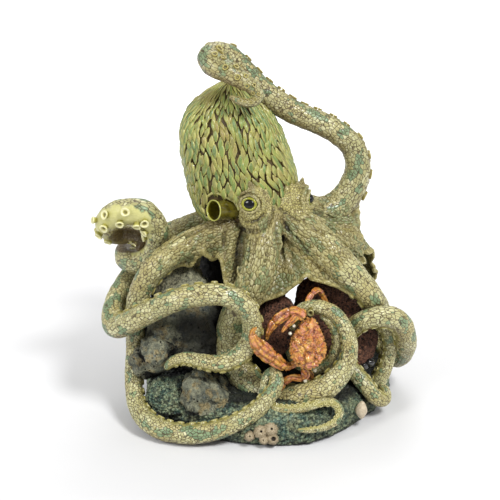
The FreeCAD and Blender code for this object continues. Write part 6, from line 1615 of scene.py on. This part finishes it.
# ------------------------------------------------------------------ ground plate
def ground():
    plan = np.array(BASE_PLAN, float)
    c = plan.mean(0)
    closed = np.vstack([plan[-2:], plan, plan[:3]])
    C, s, idx = spline(np.hstack([closed, np.zeros((len(closed), 2))]), 0.5)
    m = (idx >= 2) & (idx < len(plan) + 2)
    C = C[m, :2]
    s = np.concatenate([[0], np.cumsum(np.linalg.norm(np.diff(C, axis=0), axis=1))])
    n = 640
    t = np.linspace(0, s[-1], n, endpoint=False)
    C = np.stack([np.interp(t, s, C[:, 0]), np.interp(t, s, C[:, 1])], 1)
    prof = [(0.955, 0.0), (0.972, 0.8), (0.99, 3.5), (1.0, 7.0), (1.0, 12.0), (0.995, 18.0), (0.965, 28.0), (0.90, 36.0), (0.80, 40.0), (0.5, 42.0), (0.2, 42.5), (0.02, 42.5)]
    k = np.array([(a * 120, z, 0, 0) for a, z in prof], float)
    K, _, _ = spline(k, 1.25)
    sc, z = np.minimum(K[:, 0] / 120, 1.003), np.maximum(K[:, 1], 0)
    V = np.concatenate([c + (C[None] - c) * sc[:, None, None], np.repeat(z[:, None, None], n, 1)], -1)
    rows = len(sc)
    V = V.reshape(-1, 3)
    amp = np.repeat(smoothstep(z, 0.3, 4.0) * smoothstep(sc, 0.02, 0.25), n)
    cap = np.array([[(rows - 1) * n + i for i in range(n)]])
    ob = make("base_stone", V, [grid_faces(rows, n), cap], {"place": V, "amp": amp}, material=GREEN_ROCK, replaces=["base"])
    displace(ob, lambda g: g.math("MULTIPLY", g.attr("amp", False),
                                  g.math("ADD", worm_field(g, g.attr("place"), 0.0024, 0.30)[0],
                                         g.math("MULTIPLY", g.math("SUBTRACT", g.noise(g.attr("place"), 0.02, 2.0, 0.5), 0.5), 0.006))))
    # underside: a flat face round the firing vent, the vent's wall and the dark inside
    vc, vr = np.array([30.0, 48.0]), 6.0
    outer = c + (C - c) * 0.955
    d = outer - vc
    u = d / np.linalg.norm(d, axis=1)[:, None]
    rowsU = []
    for f in np.linspace(1, 0, 24) ** 1.3:
        rowsU.append(np.hstack([vc + u * vr + (outer - vc - u * vr) * f, np.zeros((n, 1))]))
    for zz, rr in ((2.0, 6.0), (7.0, 6.0), (8.0, 7.0), (12.0, 14.0), (14.0, 2.0)):
        rowsU.append(np.hstack([vc + u * rr, np.full((n, 1), zz)]))
    V = np.vstack(rowsU)
    nr = len(rowsU)
    cap = np.array([[(nr - 1) * n + i for i in range(n)]])
    make("base_underside", V, [grid_faces(nr, n, flip=False), cap], {"place": V}, material=UNDER_CLAY)


def under_shader(g):
    place = g.attr("place")
    n = g.noise(place, 0.2, 5.0, 0.6)
    col = g.ramp(n, [(0.3, srgb(112, 98, 76)), (0.7, srgb(150, 134, 106))])
    return col, g.range(n, 0.3, 0.7, 0.7, 0.9), g.math("MULTIPLY", n, 0.0008)


UNDER_CLAY = material("bare_clay", under_shader)


# ------------------------------------------------------------------ crab
def crab_creases(g):
    place = g.attr("place")
    warp = g.vmath("ADD", place, g.vmath("SCALE", g.noise(place, 0.16, 2.0, 0.5, colour=True), scale=13.0))
    d = g.voronoi(warp, 0.080, "DISTANCE_TO_EDGE", 1.0).outputs["Distance"]
    return g.mix(g.attr("shell", False), 0.16, d)


def crab_shader(g):
    place, pale = g.attr("place"), g.attr("pale", False)
    n = g.noise(place, 0.16, 4.0, 0.65, 0.6)
    col = g.ramp(n, [(0.32, srgb(96, 30, 8)), (0.42, srgb(166, 84, 24)), (0.52, srgb(216, 146, 56)), (0.62, srgb(182, 92, 42)), (0.76, srgb(112, 40, 16))])
    pink = g.noise(g.vmath("ADD", place, (12.0, 50.0, 9.0)), 0.15, 3.0, 0.6)
    col = g.mixc(g.range(pink, 0.50, 0.57, 0.0, 0.70), col, srgb(214, 136, 112))
    yel = g.noise(g.vmath("ADD", place, (80.0, 2.0, 33.0)), 0.19, 3.0, 0.6)
    col = g.mixc(g.range(yel, 0.52, 0.60, 0.0, 0.8), col, srgb(222, 172, 70))
    col = g.mixc(g.range(pale, 0.0, 1.0, 0.0, 0.65), col, srgb(204, 146, 52))
    crack = crab_creases(g)
    fine = g.noise(place, 0.8, 4.0, 0.65)
    col = g.mixc(g.range(crack, 0.17, 0.40, 0.0, 0.40), col, srgb(230, 168, 92))
    col = g.mixc(g.range(fine, 0.54, 0.68, 0.0, 0.20), col, srgb(104, 38, 14))
    col = g.mixc(g.range(fine, 0.45, 0.35, 0.0, 0.30), col, srgb(236, 186, 118))
    col = g.mixc(g.range(crack, 0.01, 0.058, 0.60, 0.0), col, srgb(84, 26, 10))
    low = g.attr("groove", False)
    col = g.mixc(g.math("MULTIPLY", low, 0.72), col, srgb(78, 24, 10))
    col = stain_and_painted_shade(g, col, srgb(26, 10, 5), 0.95)
    h = g.math("ADD", g.math("MULTIPLY", fine, -0.0006), g.math("MULTIPLY", g.range(crack, 0.0, 0.28), 0.0010))
    return col, g.range(fine, 0.3, 0.7, 0.28, 0.5), h


CRAB_GLAZE = material("crab_glaze", crab_shader, coat=0.80, coat_rough=0.08)


def crab():
    V, F = blob(CARAPACE, 6, soft=5.0)
    c = np.array(CARAPACE[0])
    D = V - c
    a, b, o = D @ RIGHT, D @ UP, D @ OUT
    # narrower towards the top
    k = 0.95 - 0.17 * smoothstep(b, -4, 26)
    V = V + RIGHT * (a * (k - 1))[:, None] - UP * (0.05 * b)[:, None]
    a, b = a * k, b * 0.95
    D = V - c
    # lobes of the shell: a long middle field, side fields and uneven hollows between them
    ax = a * math.cos(0.16) + b * math.sin(0.16)
    ay = -a * math.sin(0.16) + b * math.cos(0.16)
    groove = np.zeros(len(V))
    def line(dist, w):
        return np.exp(-(dist / w) ** 2)
    wx, wy = 1.6 * np.sin(ay / 2.7 + 0.6) + 0.9 * np.sin(ay / 1.3), 1.5 * np.sin(ax / 2.3) + 0.8 * np.sin(ax / 1.1 + 1.0)
    groove = np.maximum(groove, line(np.abs(ax + 0.4 * wx) - 6.0 - 1.8 * np.sin(ay / 5.0), 1.5) * (np.abs(ay) < 19))
    groove = np.maximum(groove, line(ay + wy - 3.0 - 0.04 * ax ** 2, 1.4) * (np.abs(ax) < 14))
    groove = np.maximum(groove, line(ay + wy + 9.0 + 0.04 * ax ** 2, 1.4) * (np.abs(ax) < 13))
    groove = np.maximum(groove, 0.8 * line(ax + wx - 1.0, 1.0) * (np.abs(ay - 4) < 13))
    groove *= smoothstep(o, 1.0, 6.0) * (0.55 + 0.45 * np.sin(ax * 0.7 + 1.1) * np.sin(ay * 0.5))
    lump = smoothstep(np.sin(ax * 0.62 + 0.8 * np.sin(ay * 0.4)) * np.sin(ay * 0.55 + 0.7 * np.sin(ax * 0.5)), -0.2, 0.9) * smoothstep(o, 1.0, 6.0)
    # beads along the margin
    ph = np.arctan2(b, a)
    rim = np.exp(-((o - 1.0) / 3.4) ** 2)
    bead = rim * (0.5 + 0.5 * np.cos(ph * 38 + 1.5 * np.sin(ph * 5)))
    N = D / np.linalg.norm(D, axis=1)[:, None]
    V = V + N * (-2.2 * groove + 2.0 * lump + 1.0 * bead)[:, None]
    ob = make("crab_shell", V, [F], {"place": V, "pale": rim, "groove": np.clip(0.55 * groove, 0, 1), "shell": np.ones(len(V))}, material=CRAB_GLAZE, replaces=["crab_carapace"])
    displace(ob, lambda g: g.math("ADD", g.math("MULTIPLY", g.math("SUBTRACT", g.noise(g.attr("place"), 0.16, 3.0, 0.55), 0.5), 0.0034),
                                  g.math("ADD", g.math("MULTIPLY", g.range(crab_creases(g), 0.0, 0.20, -0.6, 0.4), 0.0014),
                                         g.math("MULTIPLY", g.math("SUBTRACT", g.noise(g.attr("place"), 0.7, 3.0, 0.6), 0.5), 0.0005))))
    for name, tubes in CRAB_TUBES.items():
        parts = []
        for ti, table in enumerate(tubes):
            C, s, idx = spline(table, 0.35)
            T, N, B = transport(C[:, :3])
            nt = 40
            th = np.linspace(0, 2 * np.pi, nt, endpoint=False)
            fr = idx % 1.0
            seg = 1 + 0.10 * np.sin(np.pi * fr) - (0.22 * np.exp(-(np.minimum(fr, 1 - fr) / 0.10) ** 2) * ((np.round(idx) % 2) == 0))
            ridge = 1 + 0.10 * np.cos(5 * th[None] + 0.8 * ti + s[:, None] / 9) + 0.08 * np.cos(8 * th[None] + 2 + 1.5 * np.sin(s[:, None] / 7)) + 0.06 * np.cos(3 * th[None] + s[:, None] / 6)
            rr = np.maximum(C[:, 3], 0.35)[:, None] * seg[:, None] * ridge
            tip = smoothstep(s[-1] - s, 0, 1.2)
            rr = rr * (0.15 + 0.85 * tip)[:, None]
            V = C[:, None, :3] + (N[:, None] * np.cos(th)[None, :, None] + B[:, None] * np.sin(th)[None, :, None]) * rr[..., None]
            V = V.reshape(-1, 3)
            m = len(C)
            ends = np.array([list(range(nt))[::-1], [(m - 1) * nt + k for k in range(nt)]])
            gr = np.clip(-(ridge - 1) / 0.12, 0, 1).reshape(-1) * 0.85 + np.repeat(0.6 * (1 - seg > 0.1), nt)
            pale = np.repeat(smoothstep(s, s[-1] * 0.6, s[-1]), nt)
            parts.append((V, [grid_faces(m, nt), ends], {"place": V, "pale": pale, "groove": np.clip(gr, 0, 0.8)}))
        V, F, A = join(parts)
        ob = make(name + "_glazed", V, F, A, material=CRAB_GLAZE, replaces=[name])
        displace(ob, lambda g: g.math("MULTIPLY", g.math("SUBTRACT", g.noise(g.attr("place"), 0.4, 3.0, 0.55), 0.5), 0.0014))
    parts = []
    D, F = ICO[4]
    for x, y, z, r in CRAB_EYES + CRAB_BEADS:
        V = np.array([x, y, z]) + D * r * (1 + 0.05 * np.sin(D[:, :1] * 5))
        parts.append((V, [F], {"place": V}))
    V, F, A = join(parts)
    make("crab_beads", V, F, A, material=BEAD_GLAZE, replaces=["crab_eyes"])


def bead_shader(g):
    n = g.noise(g.attr("place"), 0.9, 3.0, 0.6)
    return g.ramp(n, [(0.35, srgb(170, 162, 130)), (0.65, srgb(226, 222, 204))]), None, g.math("MULTIPLY", n, 0.0003)


BEAD_GLAZE = material("bead_glaze", bead_shader, roughness=0.2, coat=0.6, coat_rough=0.06)


# ------------------------------------------------------------------ barnacles and pebbles
def barnacle_shader(g):
    place, cup = g.attr("place"), g.attr("cup", False)
    n = g.noise(place, 0.8, 4.0, 0.6)
    col = g.ramp(n, [(0.3, srgb(116, 102, 74)), (0.5, srgb(160, 144, 114)), (0.7, srgb(198, 184, 156))])
    col = g.mixc(g.range(cup, 0.4, 1.0), col, srgb(40, 30, 22))
    col = stain_and_painted_shade(g, col, srgb(34, 32, 24), 0.8)
    return col, g.range(n, 0.3, 0.7, 0.5, 0.7), g.math("MULTIPLY", n, 0.0008)


BARNACLE_CLAY = material("barnacle_clay", barnacle_shader)


def barnacles():
    rnd = random.Random(5)
    parts = []
    nt = 48
    for i, (x, y, z, r) in enumerate(BARNACLES):
        ax = unit((0.02 * x / 10 + rnd.uniform(-0.15, 0.15), -0.9, 0.35 + rnd.uniform(-0.1, 0.2)))
        u = unit(np.cross(ax, (0, 0, 1.0)))
        w = np.cross(ax, u)
        th = np.linspace(0, 2 * np.pi, nt, endpoint=False)
        open_ = (0.20, 0.24, 0.22, 0.16, 0.50)[i]
        r = r * (0.92, 1.12, 1.15, 0.95, 1.05)[i]
        prof = [(1.25, -5.0, 0), (1.22, -1.0, 0), (1.10, 0.8, 0), (0.94, 2.4, 0), (0.72, 3.6, 0), (open_ + 0.16, 4.3, 0), (open_ + 0.05, 4.4, 0.1), (open_, 4.0, 0.5), (open_ * 0.8, 2.8, 0.9), (open_ * 0.5, 1.8, 1.0), (0.05, 1.4, 1.0)]
        P, _, _ = spline([(a * r, b, 0, c) for a, b, c in prof], 0.4)
        rib = 1 + 0.12 * np.abs(np.sin(th * (3 + i % 3) + i + 0.4 * np.sin(2 * th)))[None] * smoothstep(P[:, 0] / r, 0.3, 0.8)[:, None] + 0.04 * np.sin(2 * th + i)[None]
        V = np.array([x, y, z]) + ax * P[:, 1, None, None] + (u[None] * np.cos(th)[:, None] + w[None] * np.sin(th)[:, None])[None] * (P[:, 0, None] * rib)[..., None]
        V = V.reshape(-1, 3)
        m = len(P)
        parts.append((V, [grid_faces(m, nt), np.array([[(m - 1) * nt + k for k in range(nt)]])], {"place": V, "cup": np.repeat(P[:, 3], nt)}))
    V, F, A = join(parts)
    ob = make("barnacle_group", V, F, A, material=BARNACLE_CLAY, replaces=["barnacles"])
    displace(ob, lambda g: g.math("MULTIPLY", g.math("SUBTRACT", g.noise(g.attr("place"), 0.5, 3.0, 0.6), 0.5), 0.0012))


def pebble_shader(g):
    n = g.noise(g.attr("place"), 0.3, 4.0, 0.6)
    return (g.ramp(n, [(0.3, srgb(176, 160, 132)), (0.7, srgb(216, 202, 176))]), g.range(n, 0.3, 0.7, 0.35, 0.55), g.math("MULTIPLY", n, 0.0005))


def gloss_shader(g):
    n = g.noise(g.attr("place"), 0.3, 4.0, 0.6)
    return (g.ramp(n, [(0.3, srgb(12, 12, 13)), (0.7, srgb(44, 44, 46))]), g.range(n, 0.3, 0.7, 0.06, 0.16), g.math("MULTIPLY", n, 0.0004))


PEBBLE = material("pebble_stone", pebble_shader, coat=0.2)
GLOSS = material("dark_gloss", gloss_shader, coat=0.8, coat_rough=0.05)


def pebbles():
    D, F = ICO[5]
    def lump(c, h, seed):
        k = 1 + 0.05 * np.sin(D[:, 0] * 4 + seed) + 0.04 * np.sin(D[:, 2] * 5 + 2 * seed)
        return np.array(c) + D * np.array(h) * k[:, None]
    V = lump(BEIGE_PEBBLE[0], BEIGE_PEBBLE[1], 1)
    make("beige_pebble_stone", V, [F], {"place": V}, material=PEBBLE, replaces=["beige_pebble"])
    parts = []
    for i, p in enumerate(DARK_PEBBLES):
        V = lump(p[0], p[1], i + 2)
        parts.append((V, [F], {"place": V}))
    V, F2, A = join(parts)
    make("dark_pebbles_gloss", V, F2, A, material=GLOSS, replaces=["dark_pebbles"])


# ------------------------------------------------------------------ build
for i, k in enumerate(ARMS):
    arm(k, i)
    suckers(k, i)
body()
mantle()
siphon()
eyes()
rocks()
ground()
crab()
barnacles()
pebbles()


# ------------------------------------------------------------------ stain and painted shade in the hollows
def enclosed():
    """Writes on every piece how much of the open space round each point other pieces take up."""
    h = 2.5
    lo = np.array([-190.0, -165.0, -12.0])
    n = np.array([154, 124, 166])
    G = np.zeros(tuple(n), bool)
    def fill(P):
        I = np.floor((P - lo) / h).astype(int)
        ok = ((I >= 0) & (I < n)).all(1)
        I = I[ok]
        G[I[:, 0], I[:, 1], I[:, 2]] = True
    def balls(C, R):
        for p, r in zip(C, R):
            m = int(r / h) + 1
            i = np.floor((p - lo) / h).astype(int)
            a, b = np.maximum(i - m, 0), np.minimum(i + m + 1, n)
            X, Y, Z = [lo[k] + h * (np.arange(a[k], b[k]) + 0.5) - p[k] for k in range(3)]
            G[a[0]:b[0], a[1]:b[1], a[2]:b[2]] |= (X[:, None, None] ** 2 + Y[None, :, None] ** 2 + Z[None, None, :] ** 2) < (r - 0.6) ** 2
    for t in ARMS.values():
        C, _, _ = spline(t, 2.0)
        balls(C[:, :3], C[:, 3])
    for tubes in CRAB_TUBES.values():
        for t in tubes:
            C, _, _ = spline(t, 2.0)
            balls(C[:, :3], C[:, 3])
    for k in WEBS:
        P, _, _ = web_points(k)
        fill(P)
    X, Y, Z = [lo[k] + h * (np.arange(n[k]) + 0.5) for k in range(3)]
    for c, hs in head_parts():
        G[...] |= (((X - c[0]) / hs[0]) ** 2)[:, None, None] + (((Y - c[1]) / hs[1]) ** 2)[None, :, None] + (((Z - c[2]) / hs[2]) ** 2)[None, None, :] < 0.94
    R = np.array(sorted(MANTLE_RINGS))
    zr = np.interp(Z, R[:, 0], R[:, 3], left=0, right=0)
    zx, zy = np.interp(Z, R[:, 0], R[:, 1]), np.interp(Z, R[:, 0], R[:, 2])
    G[...] |= ((X[:, None, None] - zx) ** 2 + ((Y[None, :, None] - zy) / 0.94) ** 2) < (np.maximum(zr - 1.5, 0) ** 2)
    for name, entry in list(ROCKS.items()) + [("shell", CARAPACE)]:
        V, _ = blob(entry, 5, FLOORS.get(name), soft=8.0)
        c = V.mean(0)
        for q in np.linspace(0.05, 0.97, 34):
            fill(c + (V - c) * q)
    plan = np.array(BASE_PLAN, float)
    c = plan.mean(0)
    for q in np.linspace(0.02, 0.97, 60):
        t = np.linspace(0, len(plan), 500, endpoint=False)
        i = t.astype(int)
        w = (t - i)[:, None]
        ring = c + (plan[i] * (1 - w) + plan[(i + 1) % len(plan)] * w - c) * q
        for z in np.arange(1.0, 38.0 - 14 * max(0, q - 0.8) / 0.2, 2.0):
            fill(np.hstack([ring, np.full((500, 1), z)]))
    G[:, :, Z < 0] = True
    # thirty ways out over the sphere, near steps first
    m = 30
    k = np.arange(m) + 0.5
    ph = np.arccos(1 - 2 * k / m)
    th = np.pi * (1 + 5 ** 0.5) * k
    dirs = np.stack([np.cos(th) * np.sin(ph), np.sin(th) * np.sin(ph), np.cos(ph)], 1)
    steps = [4.5, 9.0, 15.0, 24.0, 38.0]
    for ob in list(bpy.context.scene.objects):
        if ob.type != "MESH" or "place" not in ob.data.attributes:
            continue
        me = ob.data
        nv = len(me.vertices)
        co, no = np.zeros(nv * 3, np.float32), np.zeros(nv * 3, np.float32)
        me.vertices.foreach_get("co", co)
        me.vertices.foreach_get("normal", no)
        co, no = co.reshape(-1, 3) / MM, no.reshape(-1, 3)
        start = co + no * 2.0
        total, weight = np.zeros(nv, np.float32), np.zeros(nv, np.float32)
        for d in dirs:
            w = np.maximum(no @ d.astype(np.float32), 0)
            use = w > 0.12
            blocked = np.zeros(nv, np.float32)
            for st in steps:
                I = np.floor((start[use] + d * st - lo) / h).astype(np.int32)
                ok = ((I >= 0) & (I < n)).all(1)
                I = np.clip(I, 0, n - 1)
                hit = G[I[:, 0], I[:, 1], I[:, 2]] & ok
                b = blocked[use]
                blocked[use] = np.maximum(b, hit * np.float32(1.0 - 0.30 * st / 38.0))
            total += w * blocked * use
            weight += w * use
        occ = total / np.maximum(weight, 1e-6)
        a = me.attributes.new("occ", "FLOAT", "POINT")
        a.data.foreach_set("value", occ.astype(np.float32))


enclosed()


# ------------------------------------------------------------------ floor, light and camera
def floor_shader(g):
    n = g.noise(g.new("ShaderNodeTexCoord").outputs["Object"], 3.0, 2.0, 0.5)
    return g.ramp(n, [(0.3, (0.745, 0.745, 0.755, 1)), (0.7, (0.765, 0.765, 0.77, 1))]), None, None


n = 96
th = np.linspace(0, 2 * np.pi, n, endpoint=False)
V = np.stack([6000 * np.cos(th), 6000 * np.sin(th), np.zeros(n)], 1)
make("studio_floor", V, [np.array([list(range(n))])], material=material("floor_paper", floor_shader, roughness=0.7, spec=0.2), stage=True)


def area(name, place, target, size, power, colour=(1, 1, 1)):
    l = bpy.data.lights.new(name, "AREA")
    l.shape = "DISK"
    l.size = size
    l.energy = power
    l.color = colour
    o = bpy.data.objects.new(name, l)
    o.location = place
    d = Vector(target) - Vector(place)
    o.rotation_euler = d.to_track_quat("-Z", "Y").to_euler()
    bpy.context.scene.collection.objects.link(o)


area("key", (1.0, -1.3, 2.1), (0, 0, 0.17), 0.7, 48)
area("fill", (-1.5, -1.4, 1.5), (0, 0, 0.17), 0.9, 21)
area("back", (0.3, 1.6, 1.7), (0, 0, 0.2), 1.2, 10)
area("side_left", (-2.0, 0.15, 0.9), (-0.05, 0, 0.17), 1.2, 4)
area("side_right", (2.0, 0.15, 0.9), (0.05, 0, 0.17), 1.2, 5)
area("far_floor", (0.0, 1.3, 1.9), (0, 3.4, 0.0), 2.0, 64)
world = bpy.data.worlds.new("studio")
bpy.context.scene.world = world
world.use_nodes = True
bg = world.node_tree.nodes["Background"]
bg.inputs["Color"].default_value = (1, 1, 1, 1)
bg.inputs["Strength"].default_value = 0.42

cam = bpy.data.cameras.new("camera")
cam.lens = 95.0
cam.sensor_width = 36.0
camera = bpy.data.objects.new("camera", cam)
camera.location = (-0.0065, -1.4 * math.cos(TILT), 0.160 + 1.4 * math.sin(TILT))
camera.rotation_euler = (math.radians(90.0) - TILT, 0, 0)
bpy.context.scene.collection.objects.link(camera)
bpy.context.scene.camera = camera
bpy.context.scene.view_settings.view_transform = "Standard"

bpy.context.view_layer.update()
